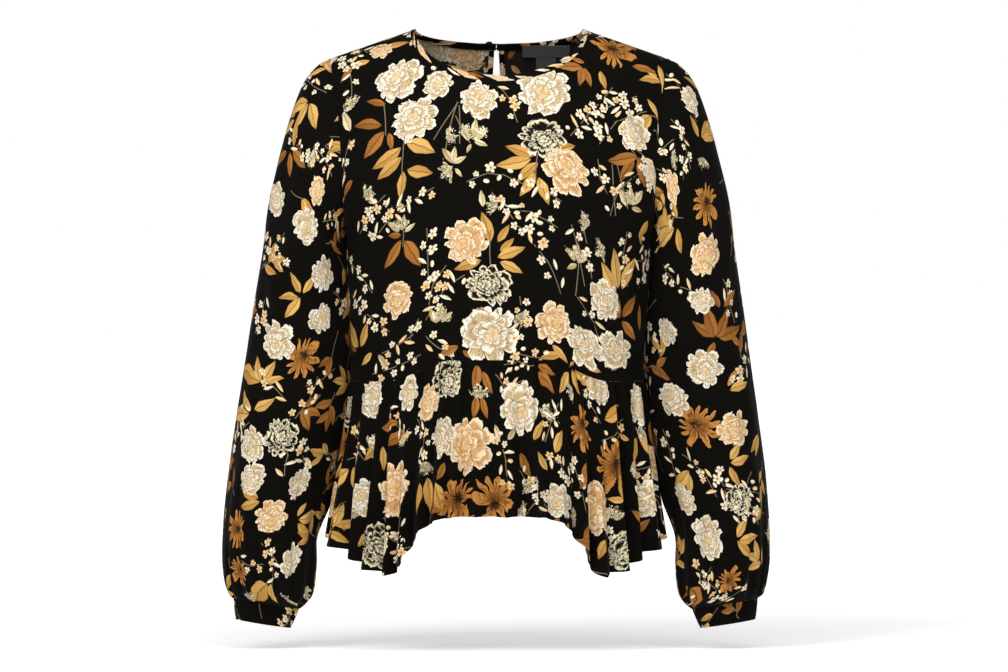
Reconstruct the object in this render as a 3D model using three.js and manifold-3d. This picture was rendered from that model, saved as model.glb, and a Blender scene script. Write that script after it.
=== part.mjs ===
// Long sleeved round neck blouse with a flared peplum, filled out as when worn.
// Millimetres, +Z up, the front faces -Y. The origin is midway between the neck points of the shoulders.
import * as THREE from 'three';
import Module from 'manifold-3d';
import { mergeVertices } from 'three/addons/utils/BufferGeometryUtils.js';

// Cloth and seams
const WALL = 1.4;
const SEAM_GAP = 0.3;
const CURVED_SEAM_GAP = 0.4;
const EDGE_INSET = SEAM_GAP / 2;

// Neck
const NECK_HALF_WIDTH = 95;
const NECK_DROP = { front: 56, back: 14 };
const BINDING_WIDTH = 6.5;
const BINDING_THICKNESS = 2.2;
const NECK_TURNS = [0, 15, 30, 45, 58, 70, 81, 90];
const BINDING_END_GAP = 0.6;

// Shoulders and armholes
const SHOULDER_HALF_WIDTH = 193;
const SHOULDER_DROP = 34;
const ARMHOLE_HEIGHT = 201;
const ARMHOLE_DEPTH = { front: 74, back: 80 };
const SHOULDER_ROUNDING = 200;
const ARMHOLE_STEPS = 14;

// Waist seam, which arches at the centre
const WAIST_AT_SIDE = -401;
const WAIST_ARCH = { front: 24, back: 8 };
const ARCH_FROM = 0.3;
const ARCH_TO = 0.76;
const ROWS_BELOW_ARMHOLE = 5;

// Keyhole slit at the centre back, and its fastening
const KEYHOLE = { x: -3, top: 20, narrow: 2.4, wide: 6.2, straightTo: -22, roundAt: -84, nearY: 15, farY: 150 };
const BUTTON = { radius: 4.75, shank: 1.5, under: 2.3, top: 4.6, fromSlit: 8, sides: 20 };
const LOOP = { radius: 0.8, bend: 2.9, reach: 11, sides: 8, steps: 18 };

// Label and size tab inside the back neck, from the slit to the wearer's left
const LABEL = { from: 27, to: 82, top: -15, height: 13, thickness: 1, steps: 8 };
const TAB = { from: 43, to: 66, top: -28.4, height: 12.5, thickness: 1, steps: 4 };

// Half widths and depths of the body, before the shoulders round over
const BODY = [
  { z: -34, half: 193, front: 116, back: 98 },
  { z: -80, half: 184, front: 119, back: 104 },
  { z: -130, half: 179.5, front: 122, back: 107 },
  { z: -180, half: 177, front: 125, back: 106 },
  { z: -235, half: 175.5, front: 125, back: 102 },
  { z: -300, half: 172, front: 119, back: 95 },
  { z: -350, half: 169, front: 113, back: 91 },
  { z: -401, half: 168, front: 110, back: 90 },
];

// Sleeve rings from the armhole to the wrist: the outermost and innermost points of each ring,
// its half depth front to back, how far it has left the armhole's outline, and the gather height
const SLEEVE = [
  { outX: 193.4, outZ: -34, inX: 176.2, inZ: -235, depth: 60, round: 0, gather: 0 },
  { outX: 207, outZ: -42, inX: 176.8, inZ: -241, depth: 61, round: 0.15, gather: 0 },
  { outX: 223, outZ: -62, inX: 177.2, inZ: -247, depth: 62, round: 0.35, gather: 0 },
  { outX: 237, outZ: -98, inX: 177.6, inZ: -254, depth: 63, round: 0.55, gather: 0 },
  { outX: 250, outZ: -144, inX: 178, inZ: -262, depth: 64, round: 0.75, gather: 0 },
  { outX: 261, outZ: -196, inX: 178.4, inZ: -272, depth: 65, round: 0.9, gather: 0 },
  { outX: 269, outZ: -252, inX: 178.6, inZ: -290, depth: 65, round: 1, gather: 0 },
  { outX: 279, outZ: -316, inX: 178, inZ: -330, depth: 65, round: 1, gather: 0 },
  { outX: 288, outZ: -378, inX: 177, inZ: -381, depth: 65, round: 1, gather: 0 },
  { outX: 296, outZ: -430, inX: 181, inZ: -430, depth: 66, round: 1, gather: 0.2 },
  { outX: 303, outZ: -475, inX: 189, inZ: -475, depth: 67, round: 1, gather: 0.4 },
  { outX: 309, outZ: -520, inX: 198, inZ: -522, depth: 67, round: 1, gather: 0.8 },
  { outX: 312, outZ: -562, inX: 205, inZ: -568, depth: 66, round: 1, gather: 1.3 },
  { outX: 312, outZ: -602, inX: 206, inZ: -610, depth: 61, round: 1, gather: 2.2 },
  { outX: 308, outZ: -630, inX: 210, inZ: -641, depth: 51, round: 1, gather: 2.8 },
  { outX: 303, outZ: -643, inX: 217, inZ: -654, depth: 39, round: 1, gather: 2.4 },
  { outX: 299, outZ: -648.5, inX: 223.5, inZ: -660.5, depth: 28, round: 1, gather: 1.4 },
];

// Long soft folds down a sleeve: place round it in degrees from the outside, first and last ring, depth
const SLEEVE_FOLDS = [
  { at: 48, from: 2, to: 9, depth: 4 },
  { at: 84, from: 6, to: 14, depth: 5 },
  { at: 122, from: 8, to: 15, depth: 4 },
  { at: 20, from: 9, to: 15, depth: 4 },
  { at: 236, from: 5, to: 13, depth: 5 },
  { at: 280, from: 3, to: 10, depth: 4 },
  { at: 322, from: 9, to: 15, depth: 4 },
];
const FOLD_HALF_WIDTH = 24;

// Cuffs
const CUFF = { height: 23, topHalf: 37.5, bottomHalf: 32, topDepth: 27, bottomDepth: 24, crinkle: 0.45 };
const CUFF_RINGS = 3;

// Peplum: its size at the hem before the waves, and the waves from the left side seam to the right one,
// with their share of the way round in degrees and their height at the hem
const PEPLUM = { half: 188, front: 140, back: 122, steps: 4, flat: 0.9 };
const PEPLUM_LEVELS = [0, 0.1, 0.28, 0.5, 0.75, 1];
const PEPLUM_WAVES = [
  { width: 11, height: 9 }, { width: 13, height: 11 }, { width: 12, height: 13 }, { width: 9, height: 13 },
  { width: 7, height: 11 }, { width: 7, height: 10 }, { width: 6.5, height: 9 }, { width: 6, height: 8 },
  { width: 6, height: 7 }, { width: 11, height: 8 }, { width: 11, height: 8 }, { width: 9, height: 9 },
  { width: 10, height: 11 }, { width: 7.5, height: 11 }, { width: 9, height: 13 }, { width: 8, height: 13 },
  { width: 11, height: 13 }, { width: 12, height: 11 }, { width: 14, height: 9 },
];

// Height of the peplum's hem by the angle from the centre of the front or back
const HEM = [
  { angle: 0, z: -552 }, { angle: 19, z: -555 }, { angle: 28, z: -572 }, { angle: 38, z: -617 },
  { angle: 52, z: -609 }, { angle: 70, z: -590 }, { angle: 90, z: -574 },
];

// The garment hangs a little to the wearer's right below the armholes
const SWAY = { from: -235, to: -660, reach: -4 };

// Colours
const MATERIALS = {
  cloth: { color: 0x0f0d0b, roughness: 0.85 },
  cuff: { color: 0x11100d, roughness: 0.85 },
  label: { color: 0x3a3a3c, roughness: 0.7 },
  button: { color: 0x15130f, roughness: 0.35 },
};

const radians = THREE.MathUtils.degToRad;
const smooth = (from, to, at) => THREE.MathUtils.smoothstep(at, from, to);

// A smooth curve through one column of a table, against another column
function reader(table, key, value) {
  const rows = [...table].sort((a, b) => a[key] - b[key]);
  const slope = rows.map((row, i) => {
    const before = rows[Math.max(0, i - 1)];
    const after = rows[Math.min(rows.length - 1, i + 1)];
    return (after[value] - before[value]) / (after[key] - before[key]);
  });
  return (at) => {
    const x = THREE.MathUtils.clamp(at, rows[0][key], rows[rows.length - 1][key]);
    let i = 0;
    while (i < rows.length - 2 && x > rows[i + 1][key]) i += 1;
    const span = rows[i + 1][key] - rows[i][key];
    const t = (x - rows[i][key]) / span;
    const start = (1 + 2 * t) * (1 - t) ** 2 * rows[i][value] + t * (1 - t) ** 2 * span * slope[i];
    const end = t * t * (3 - 2 * t) * rows[i + 1][value] + t * t * (t - 1) * span * slope[i + 1];
    return start + end;
  };
}

const bodyHalf = reader(BODY, 'z', 'half');
const bodyMiddle = { front: reader(BODY, 'z', 'front'), back: reader(BODY, 'z', 'back') };
const hemHeight = reader(HEM, 'angle', 'z');
const outward = { front: -1, back: 1 };

// The line of the shoulder seams, carried on over the neck
function shoulderLine(x) {
  const slope = SHOULDER_DROP / (SHOULDER_HALF_WIDTH - NECK_HALF_WIDTH);
  const inside = NECK_HALF_WIDTH - Math.abs(x);
  return inside < 0 ? slope * inside : slope * (inside - (0.5 * inside ** 2) / NECK_HALF_WIDTH);
}

// Distance of the body's surface from the plane of the side seams
function bodyDepth(x, z, side) {
  const fromTop = Math.max(0, shoulderLine(x) - z);
  const over = Math.max(0, 1 - fromTop / SHOULDER_ROUNDING);
  const down = THREE.MathUtils.clamp((-SHOULDER_DROP - z) / ARMHOLE_HEIGHT, 0, 1);
  const armhole = Math.sqrt(1 - down ** 3);
  const edge = ARMHOLE_DEPTH[side] * armhole;
  const across = Math.min(1, Math.abs(x) / bodyHalf(z));
  const bulge = (1 - across ** 2) ** (0.5 + 0.3 * armhole);
  return Math.sqrt(1 - over ** 2) * (edge + (bodyMiddle[side](z) - edge) * bulge);
}

function waistSeam(across, side) {
  return WAIST_AT_SIDE + WAIST_ARCH[side] * (1 - smooth(ARCH_FROM, ARCH_TO, Math.abs(across)));
}

// A point of the neckline: turn runs from -90 to 90 degrees, outset from the finished edge
function neckPoint(turn, outset, side) {
  const half = NECK_HALF_WIDTH + outset;
  const x = half * Math.sin(radians(turn));
  const z = shoulderLine(half) - (NECK_DROP[side] + outset * 0.85) * Math.cos(radians(turn));
  return new THREE.Vector3(x, outward[side] * bodyDepth(x, z, side), z);
}

// The turn of the panel's neck edge at a distance from the centre, 90 or more at the shoulder seam
function neckTurn(x) {
  const share = Math.abs(x) / (NECK_HALF_WIDTH + BINDING_WIDTH);
  return share > 0.99999 ? 90 : THREE.MathUtils.radToDeg(Math.asin(share));
}

function neckEdge(x, side) {
  return neckPoint(neckTurn(x), BINDING_WIDTH, side).z;
}

function sway(point) {
  point.x += SWAY.reach * THREE.MathUtils.clamp((point.z - SWAY.from) / (SWAY.to - SWAY.from), 0, 1);
  return point;
}

// Surface normals of a grid of points, from its neighbours along and across
function gridNormals(grid, closed) {
  return grid.map((row, i) => row.map((_, j) => {
    const up = grid[Math.max(0, i - 1)][j];
    const down = grid[Math.min(grid.length - 1, i + 1)][j];
    const last = row.length - 1;
    const left = closed ? row[(j + last) % row.length] : row[Math.max(0, j - 1)];
    const right = closed ? row[(j + 1) % row.length] : row[Math.min(last, j + 1)];
    return right.clone().sub(left).cross(down.clone().sub(up)).normalize();
  }));
}

// A closed solid from an outer and an inner grid of points
function wallSolid(outer, inner, closed) {
  const rows = outer.length;
  const columns = outer[0].length;
  const points = [...outer.flat(), ...inner.flat()];
  const index = [];
  const at = (layer, i, j) => layer * rows * columns + i * columns + (j % columns);
  const quad = (a, b, c, d) => index.push(a, b, c, a, c, d);
  const steps = closed ? columns : columns - 1;
  for (let i = 0; i < rows - 1; i += 1) {
    for (let j = 0; j < steps; j += 1) {
      quad(at(0, i, j), at(0, i, j + 1), at(0, i + 1, j + 1), at(0, i + 1, j));
      quad(at(1, i, j), at(1, i + 1, j), at(1, i + 1, j + 1), at(1, i, j + 1));
    }
  }
  for (let j = 0; j < steps; j += 1) {
    quad(at(0, 0, j), at(1, 0, j), at(1, 0, j + 1), at(0, 0, j + 1));
    quad(at(0, rows - 1, j), at(0, rows - 1, j + 1), at(1, rows - 1, j + 1), at(1, rows - 1, j));
  }
  for (let i = 0; i < rows - 1 && !closed; i += 1) {
    quad(at(0, i, 0), at(0, i + 1, 0), at(1, i + 1, 0), at(1, i, 0));
    quad(at(0, i, columns - 1), at(1, i, columns - 1), at(1, i + 1, columns - 1), at(0, i + 1, columns - 1));
  }
  return solidFrom(points, index);
}

// Geometry whose faces point out, whichever way round its points were given
function solidFrom(points, index) {
  let volume = 0;
  for (let i = 0; i < index.length; i += 3) {
    const [a, b, c] = [points[index[i]], points[index[i + 1]], points[index[i + 2]]];
    volume += a.dot(b.clone().cross(c));
  }
  const facing = volume < 0 ? index.reverse() : index;
  const geometry = new THREE.BufferGeometry();
  geometry.setAttribute('position', new THREE.Float32BufferAttribute(points.flatMap((p) => p.toArray()), 3));
  geometry.setIndex(facing);
  return geometry;
}

const blouse = new THREE.Group();
blouse.name = 'blouse';

function addPiece(name, geometry, finish) {
  const material = new THREE.MeshStandardMaterial({ ...MATERIALS[finish], metalness: 0 });
  geometry.computeVertexNormals();
  const mesh = new THREE.Mesh(geometry, material);
  mesh.name = name;
  blouse.add(mesh);
}

// Offset of a wall's inner points, level at the waist and upright at the seams between front and back
function innerGrid(outer, normals, inset) {
  return outer.map((row, i) => row.map((point, j) => {
    const normal = normals[i][j].clone();
    inset(normal, i, j);
    return point.clone().addScaledVector(normal.normalize(), -WALL);
  }));
}

function keepToSide(grid, side) {
  for (const point of grid.flat()) {
    if (outward[side] * point.y < EDGE_INSET) point.y = outward[side] * EDGE_INSET;
  }
}

// Bodice panels
const armholeDrop = (step) => (ARMHOLE_HEIGHT * (1 - Math.cos((Math.PI * step) / ARMHOLE_STEPS))) / 2;
const sideLength = -SHOULDER_DROP - WAIST_AT_SIDE;

function bodiceRows() {
  const rows = [];
  for (let j = 0; j <= ARMHOLE_STEPS; j += 1) rows.push(armholeDrop(j) / sideLength);
  const start = ARMHOLE_HEIGHT / sideLength;
  for (let j = 1; j <= ROWS_BELOW_ARMHOLE; j += 1) rows.push(start + ((1 - start) * j) / ROWS_BELOW_ARMHOLE);
  return rows;
}

function bodiceColumns() {
  const neck = (NECK_HALF_WIDTH + BINDING_WIDTH) / bodyHalf(-SHOULDER_DROP);
  const inNeck = NECK_TURNS.map((turn) => neck * Math.sin(radians(turn)));
  const onShoulder = [0.3, 0.55, 0.76, 0.92, 1].map((share) => neck + share * (1 - neck));
  const half = [...inNeck, ...onShoulder];
  return [...half.slice(1).reverse().map((s) => -s), ...half];
}

// The level direction out of the waist seam, which both walls that meet there follow
function waistNormal(across, side) {
  const depth = bodyMiddle[side](WAIST_AT_SIDE);
  const ahead = outward[side] * Math.sqrt(Math.max(0, 1 - across ** 2));
  return new THREE.Vector3(across / bodyHalf(WAIST_AT_SIDE), ahead / depth, 0).normalize();
}

// The waist seam as the straight stretches between the bodice's columns, which the peplum follows
function seamOnColumns(across, side) {
  const columns = bodiceColumns();
  let i = 0;
  while (i < columns.length - 2 && across > columns[i + 1]) i += 1;
  const share = (across - columns[i]) / (columns[i + 1] - columns[i]);
  return THREE.MathUtils.lerp(waistSeam(columns[i], side), waistSeam(columns[i + 1], side), share);
}

function bodiceGrid(side) {
  const neckHalf = NECK_HALF_WIDTH + BINDING_WIDTH;
  return bodiceRows().map((share) => bodiceColumns().map((across) => {
    const half = bodyHalf(-SHOULDER_DROP - share * sideLength);
    const topX = Math.abs(across) * bodyHalf(-SHOULDER_DROP);
    const top = topX < neckHalf - 0.01 ? neckEdge(topX, side) : shoulderLine(topX);
    const z = top + (waistSeam(across, side) - top) * share;
    const x = across * half;
    return new THREE.Vector3(x, outward[side] * bodyDepth(x, z, side), z);
  }));
}

function bodice(side) {
  const outer = bodiceGrid(side);
  const inner = innerGrid(outer, gridNormals(outer, false), (normal, i, j) => {
    normal.multiplyScalar(Math.sign(normal.y * outward[side]) || 1);
    const onSide = (j === 0 || j === outer[0].length - 1) && i >= ARMHOLE_STEPS;
    const onShoulder = i === 0 && Math.abs(outer[i][j].y) < EDGE_INSET;
    if (onSide || onShoulder) normal.y = 0;
    if (onSide) normal.set(Math.sign(outer[i][j].x), 0, 0);
    if (onShoulder) normal.set(0, 0, 1);
    if (i === outer.length - 1) normal.copy(waistNormal(bodiceColumns()[j], side));
    const turn = neckTurn(outer[i][j].x);
    if (i === 0 && turn < 90) normal.projectOnPlane(bindingFrame(turn * Math.sign(outer[i][j].x), side).up);
  });
  keepToSide(outer, side);
  keepToSide(inner, side);
  outer.flat().forEach(sway);
  inner.flat().forEach(sway);
  return wallSolid(outer, inner, false);
}

// The keyhole is cut through the back bodice
const wasm = await Module();
wasm.setup();

function toManifold(geometry) {
  const bare = geometry.clone();
  for (const name of ['normal', 'uv']) bare.deleteAttribute(name);
  const merged = mergeVertices(bare, 1e-4);
  return new wasm.Manifold(new wasm.Mesh({
    numProp: 3,
    vertProperties: new Float32Array(merged.attributes.position.array),
    triVerts: new Uint32Array(merged.index.array),
  }));
}

function fromManifold(solid) {
  const mesh = solid.getMesh();
  const geometry = new THREE.BufferGeometry();
  geometry.setAttribute('position', new THREE.BufferAttribute(new Float32Array(mesh.vertProperties), 3));
  geometry.setIndex(new THREE.BufferAttribute(new Uint32Array(mesh.triVerts), 1));
  return geometry;
}

function keyholeCutter() {
  const { narrow, wide, top, straightTo, roundAt } = KEYHOLE;
  const outline = new THREE.Shape();
  outline.moveTo(-narrow, top);
  outline.lineTo(-narrow, straightTo);
  outline.lineTo(-wide, roundAt);
  outline.absarc(0, roundAt, wide, Math.PI, 2 * Math.PI, false);
  outline.lineTo(narrow, straightTo);
  outline.lineTo(narrow, top);
  const cutter = new THREE.ExtrudeGeometry(outline, {
    depth: KEYHOLE.farY - KEYHOLE.nearY, bevelEnabled: false, curveSegments: 6,
  });
  return cutter.rotateX(Math.PI / 2).translate(KEYHOLE.x, KEYHOLE.farY, 0);
}

addPiece('front_bodice', bodice('front'), 'cloth');
addPiece('back_bodice', fromManifold(toManifold(bodice('back')).subtract(toManifold(keyholeCutter()))), 'cloth');

// Sleeves
const RING_POINTS = 2 * ARMHOLE_STEPS;

function sleevePoint(ring, k, j) {
  const turn = (2 * Math.PI * j) / RING_POINTS;
  const side = j <= ARMHOLE_STEPS ? 'front' : 'back';
  const middle = { x: (ring.outX + ring.inX) / 2, z: (ring.outZ + ring.inZ) / 2 };
  const reach = { x: (ring.outX - ring.inX) / 2, z: (ring.outZ - ring.inZ) / 2 };
  const armZ = -SHOULDER_DROP - (ARMHOLE_HEIGHT * (1 - Math.cos(turn))) / 2;
  const armX = bodyHalf(armZ);
  const armDepth = bodyDepth(armX, armZ, side);
  const chord = (SLEEVE[0].outX + SLEEVE[0].inX) / 2 + ((SLEEVE[0].outX - SLEEVE[0].inX) / 2) * Math.cos(turn);
  const bow = (armX + SEAM_GAP - chord) * (1 - ring.round);
  const depth = armDepth * (1 - ring.round) + ring.depth * Math.abs(Math.sin(turn)) * ring.round;
  const swell = (j % 2 ? 1 : -1) * ring.gather - sleeveFold(k, (360 * j) / RING_POINTS);
  const size = Math.hypot(reach.x, reach.z);
  const radial = 1 + swell / size;
  return new THREE.Vector3(
    middle.x + reach.x * Math.cos(turn) * radial + bow,
    outward[side] * (depth + swell * Math.abs(Math.sin(turn))),
    middle.z + reach.z * Math.cos(turn) * radial,
  );
}

function sleeveFold(k, degrees) {
  let depth = 0;
  for (const fold of SLEEVE_FOLDS) {
    if (k <= fold.from || k >= fold.to) continue;
    const apart = Math.abs(((degrees - fold.at + 540) % 360) - 180);
    const along = Math.sin((Math.PI * (k - fold.from)) / (fold.to - fold.from));
    depth += fold.depth * along * Math.max(0, Math.cos((Math.PI / 2) * Math.min(1, apart / FOLD_HALF_WIDTH)));
  }
  return depth;
}

function sleeve(hand) {
  const outer = SLEEVE.map((ring, k) => Array.from({ length: RING_POINTS }, (_, j) => sleevePoint(ring, k, j)));
  const normals = gridNormals(outer, true);
  const centre = outer.map((row) => row.reduce((sum, p) => sum.add(p), new THREE.Vector3()).divideScalar(row.length));
  const inner = innerGrid(outer, normals, (normal, i, j) => {
    if (normal.dot(outer[i][j].clone().sub(centre[i])) < 0) normal.negate();
    if (i === 0) normal.x = Math.min(0, normal.x);
  });
  for (const point of [...outer.flat(), ...inner.flat()]) {
    point.x *= hand;
    sway(point);
  }
  return wallSolid(outer, inner, true);
}

// Cuffs: short bands that hang on the line of the wrist, with fine upright crinkles
function cuff(hand) {
  const wrist = SLEEVE[SLEEVE.length - 1];
  const lean = Math.atan2(wrist.outZ - wrist.inZ, wrist.outX - wrist.inX);
  const top = new THREE.Vector3((wrist.outX + wrist.inX) / 2, 0, (wrist.outZ + wrist.inZ) / 2);
  const down = new THREE.Vector3(Math.sin(lean), 0, -Math.cos(lean));
  const across = new THREE.Vector3(Math.cos(lean), 0, Math.sin(lean));
  const rings = Array.from({ length: CUFF_RINGS }, (_, k) => k / (CUFF_RINGS - 1));
  const ringOf = (inset) => rings.map((share) => Array.from({ length: RING_POINTS }, (_, j) => {
    const turn = (2 * Math.PI * j) / RING_POINTS;
    const crinkle = (j % 2 ? 1 : -1) * CUFF.crinkle - inset;
    const half = THREE.MathUtils.lerp(CUFF.topHalf, CUFF.bottomHalf, share) + crinkle;
    const depth = THREE.MathUtils.lerp(CUFF.topDepth, CUFF.bottomDepth, share) + crinkle;
    const point = top.clone().addScaledVector(down, SEAM_GAP + CUFF.height * share);
    point.addScaledVector(across, half * Math.cos(turn));
    point.y -= depth * Math.sin(turn);
    return point;
  }));
  const outer = ringOf(0);
  const inner = ringOf(WALL);
  for (const point of [...outer.flat(), ...inner.flat()]) {
    point.x *= hand;
    sway(point);
  }
  return wallSolid(outer, inner, true);
}

for (const [name, hand] of [['left', -1], ['right', 1]]) {
  addPiece(`sleeve_${name}`, sleeve(hand), 'cloth');
  addPiece(`cuff_${name}`, cuff(hand), 'cuff');
}

// Peplum panels: each wave has its own width and height
function peplumColumns() {
  const columns = [];
  const total = PEPLUM_WAVES.reduce((sum, wave) => sum + wave.width, 0);
  let start = -90;
  PEPLUM_WAVES.forEach((wave, i) => {
    const width = (wave.width * 180) / total;
    const before = PEPLUM_WAVES[Math.max(0, i - 1)].height;
    const after = PEPLUM_WAVES[Math.min(PEPLUM_WAVES.length - 1, i + 1)].height;
    for (let step = 0; step < PEPLUM.steps; step += 1) {
      const share = step / PEPLUM.steps;
      const near = share < 0.5 ? (before + wave.height) / 2 : (after + wave.height) / 2;
      const height = THREE.MathUtils.lerp(near, wave.height, 1 - Math.abs(2 * share - 1));
      columns.push({ angle: start + width * share, wave: -Math.cos(2 * Math.PI * share), height });
    }
    start += width;
  });
  columns.push({ angle: 90, wave: -1, height: columns[0].height });
  return columns;
}

function peplumPoint(column, level, side) {
  const turn = radians(column.angle);
  const across = Math.sin(turn);
  const seamZ = seamOnColumns(across, side) - CURVED_SEAM_GAP;
  const seam = new THREE.Vector3(across * bodyHalf(WAIST_AT_SIDE), 0, seamZ);
  seam.y = outward[side] * bodyDepth(seam.x, seamZ, side);
  const hem = new THREE.Vector3(
    PEPLUM.half * across,
    outward[side] * PEPLUM[side] * Math.cos(turn),
    hemHeight(Math.abs(column.angle)),
  );
  const point = seam.lerp(hem, level);
  const away = new THREE.Vector3(across / PEPLUM.half, (outward[side] * Math.cos(turn)) / PEPLUM[side], 0);
  const height = PEPLUM.flat + (column.height - PEPLUM.flat) * level ** 0.9;
  const swing = level === 0 ? 0 : column.wave * height;
  return point.addScaledVector(away.normalize(), swing);
}

function peplum(side) {
  const columns = peplumColumns();
  const outer = PEPLUM_LEVELS.map((level) => columns.map((column) => peplumPoint(column, level, side)));
  const normals = gridNormals(outer, false);
  const inner = innerGrid(outer, normals, (normal, i, j) => {
    const turn = radians(columns[j].angle);
    const away = new THREE.Vector3(Math.sin(turn), outward[side] * Math.cos(turn), 0);
    if (normal.dot(away) < 0) normal.negate();
    if (i === 0) normal.copy(waistNormal(Math.sin(turn), side));
    if (j === 0 || j === columns.length - 1) normal.y = 0;
  });
  keepToSide(outer, side);
  keepToSide(inner, side);
  outer.flat().forEach(sway);
  inner.flat().forEach(sway);
  return wallSolid(outer, inner, false);
}

for (const side of ['front', 'back']) addPiece(`peplum_${side}`, peplum(side), 'cloth');

// Neck binding: a strip that starts and ends over the keyhole
function bindingStations() {
  const stations = [];
  const slit = THREE.MathUtils.radToDeg(Math.asin(KEYHOLE.x / NECK_HALF_WIDTH));
  const endGap = THREE.MathUtils.radToDeg(BINDING_END_GAP / 2 / NECK_HALF_WIDTH);
  const turns = [...NECK_TURNS.slice(1).reverse().map((turn) => -turn), ...NECK_TURNS];
  const place = (list, side) => list.forEach((turn) => stations.push({ turn, side }));
  place([slit + endGap, ...turns.filter((turn) => turn > slit + endGap)], 'back');
  place(turns.slice(1, -1).reverse(), 'front');
  place([...turns.filter((turn) => turn < slit - endGap), slit - endGap], 'back');
  return stations;
}

// The strip's outer face stands a little proud of the panels, and its lower edge stops short of them
function bindingFrame(turn, side) {
  const low = neckPoint(turn, BINDING_WIDTH, side);
  const high = neckPoint(turn, 0, side);
  const up = high.clone().sub(low);
  const width = up.length();
  up.normalize();
  const before = neckPoint(turn - 1, BINDING_WIDTH / 2, side);
  const after = neckPoint(turn + 1, BINDING_WIDTH / 2, side);
  const along = after.sub(before).normalize();
  const normal = new THREE.Vector3().crossVectors(along, up).normalize();
  if (normal.dot(new THREE.Vector3(0, outward[side], 1)) < 0) normal.negate();
  return { low, up, width, normal };
}

function binding() {
  const proud = (BINDING_THICKNESS - WALL) / 2;
  const rings = bindingStations().map(({ turn, side }) => {
    const { low, up, width, normal } = bindingFrame(turn, side);
    if (Math.abs(turn) === 90) normal.set(0, 0, 1).projectOnPlane(up).normalize();
    const corner = (rise, out) => low.clone().addScaledVector(up, rise).addScaledVector(normal, out);
    return [
      corner(CURVED_SEAM_GAP, proud), corner(width, proud),
      corner(width, proud - BINDING_THICKNESS), corner(CURVED_SEAM_GAP, proud - BINDING_THICKNESS),
    ];
  });
  const points = rings.flat();
  const index = [];
  for (let i = 0; i < rings.length - 1; i += 1) {
    for (let j = 0; j < 4; j += 1) {
      const [a, b] = [4 * i + j, 4 * i + ((j + 1) % 4)];
      index.push(a, b, b + 4, a, b + 4, a + 4);
    }
  }
  const end = 4 * (rings.length - 1);
  index.push(0, 2, 1, 0, 3, 2, end, end + 1, end + 2, end, end + 2, end + 3);
  return solidFrom(points, index);
}

addPiece('neck_binding', binding(), 'cloth');

// Fastening: a button on one end of the binding, held by a loop from the other end
function fasteningFrame() {
  const x = KEYHOLE.x - BUTTON.fromSlit;
  const turn = THREE.MathUtils.radToDeg(Math.asin(x / NECK_HALF_WIDTH));
  const { low, up, width, normal } = bindingFrame(turn, 'back');
  const proud = (BINDING_THICKNESS - WALL) / 2;
  const seat = low.addScaledVector(up, width / 2).addScaledVector(normal, proud + SEAM_GAP);
  const along = new THREE.Vector3().crossVectors(up, normal).normalize();
  if (along.x < 0) along.negate();
  return { seat, up: new THREE.Vector3().crossVectors(normal, along), normal, along };
}

function placed(geometry) {
  const { seat, up, normal, along } = fasteningFrame();
  const turn = new THREE.Matrix4().makeBasis(along, up, normal).setPosition(seat);
  return geometry.applyMatrix4(turn);
}

function button() {
  const { radius, shank, under, top, sides } = BUTTON;
  const bevel = 0.6;
  const profile = [
    [0, 0], [shank, 0], [shank, under], [radius, under], [radius, top - bevel], [radius - bevel, top], [0, top],
  ].map(([x, y]) => new THREE.Vector2(x, y));
  return placed(new THREE.LatheGeometry(profile, sides).rotateX(Math.PI / 2));
}

function loop() {
  const { radius, bend, reach, sides, steps } = LOOP;
  const path = new THREE.CurvePath();
  const at = (x, y) => new THREE.Vector3(x, y, radius);
  path.add(new THREE.LineCurve3(at(reach, bend), at(0, bend)));
  const half = new THREE.CatmullRomCurve3([90, 120, 150, 180, 210, 240, 270].map((angle) => (
    at(bend * Math.cos(radians(angle)), bend * Math.sin(radians(angle)))
  )));
  path.add(half);
  path.add(new THREE.LineCurve3(at(0, -bend), at(reach, -bend)));
  const section = new THREE.Shape();
  for (let i = 0; i < sides; i += 1) {
    const turn = (2 * Math.PI * i) / sides;
    section[i ? 'lineTo' : 'moveTo'](radius * Math.cos(turn), radius * Math.sin(turn));
  }
  const points = path.getSpacedPoints(steps);
  const line = new THREE.CatmullRomCurve3(points);
  return placed(new THREE.ExtrudeGeometry(section, { steps, bevelEnabled: false, extrudePath: line }));
}

addPiece('neck_button', button(), 'button');
addPiece('neck_loop', loop(), 'cloth');

// Label and size tab, just inside the binding and the back bodice
function insideBack(x, z, depth) {
  const here = new THREE.Vector3(x, bodyDepth(x, z, 'back'), z);
  const step = 0.5;
  const sideways = new THREE.Vector3(x + step, bodyDepth(x + step, z, 'back'), z).sub(here);
  const down = new THREE.Vector3(x, bodyDepth(x, z - step, 'back'), z - step).sub(here);
  const normal = down.cross(sideways).normalize();
  if (normal.y < 0) normal.negate();
  return here.addScaledVector(normal, -depth);
}

function insidePatch({ from, to, top, height, thickness, steps }) {
  const rows = [0, 0.5, 1];
  const seat = BINDING_THICKNESS - (BINDING_THICKNESS - WALL) / 2 + SEAM_GAP;
  const grid = (extra) => rows.map((row) => Array.from({ length: steps + 1 }, (_, i) => (
    insideBack(THREE.MathUtils.lerp(from, to, i / steps), top - height * row, seat + extra)
  )));
  return wallSolid(grid(0), grid(thickness), false);
}

addPiece('neck_label', insidePatch(LABEL), 'label');
addPiece('size_tab', insidePatch(TAB), 'label');

export default blouse;
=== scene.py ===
# Looks of the blouse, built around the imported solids
# Tables and sizes are in millimetres unless a name says metres
import math
import random

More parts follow.
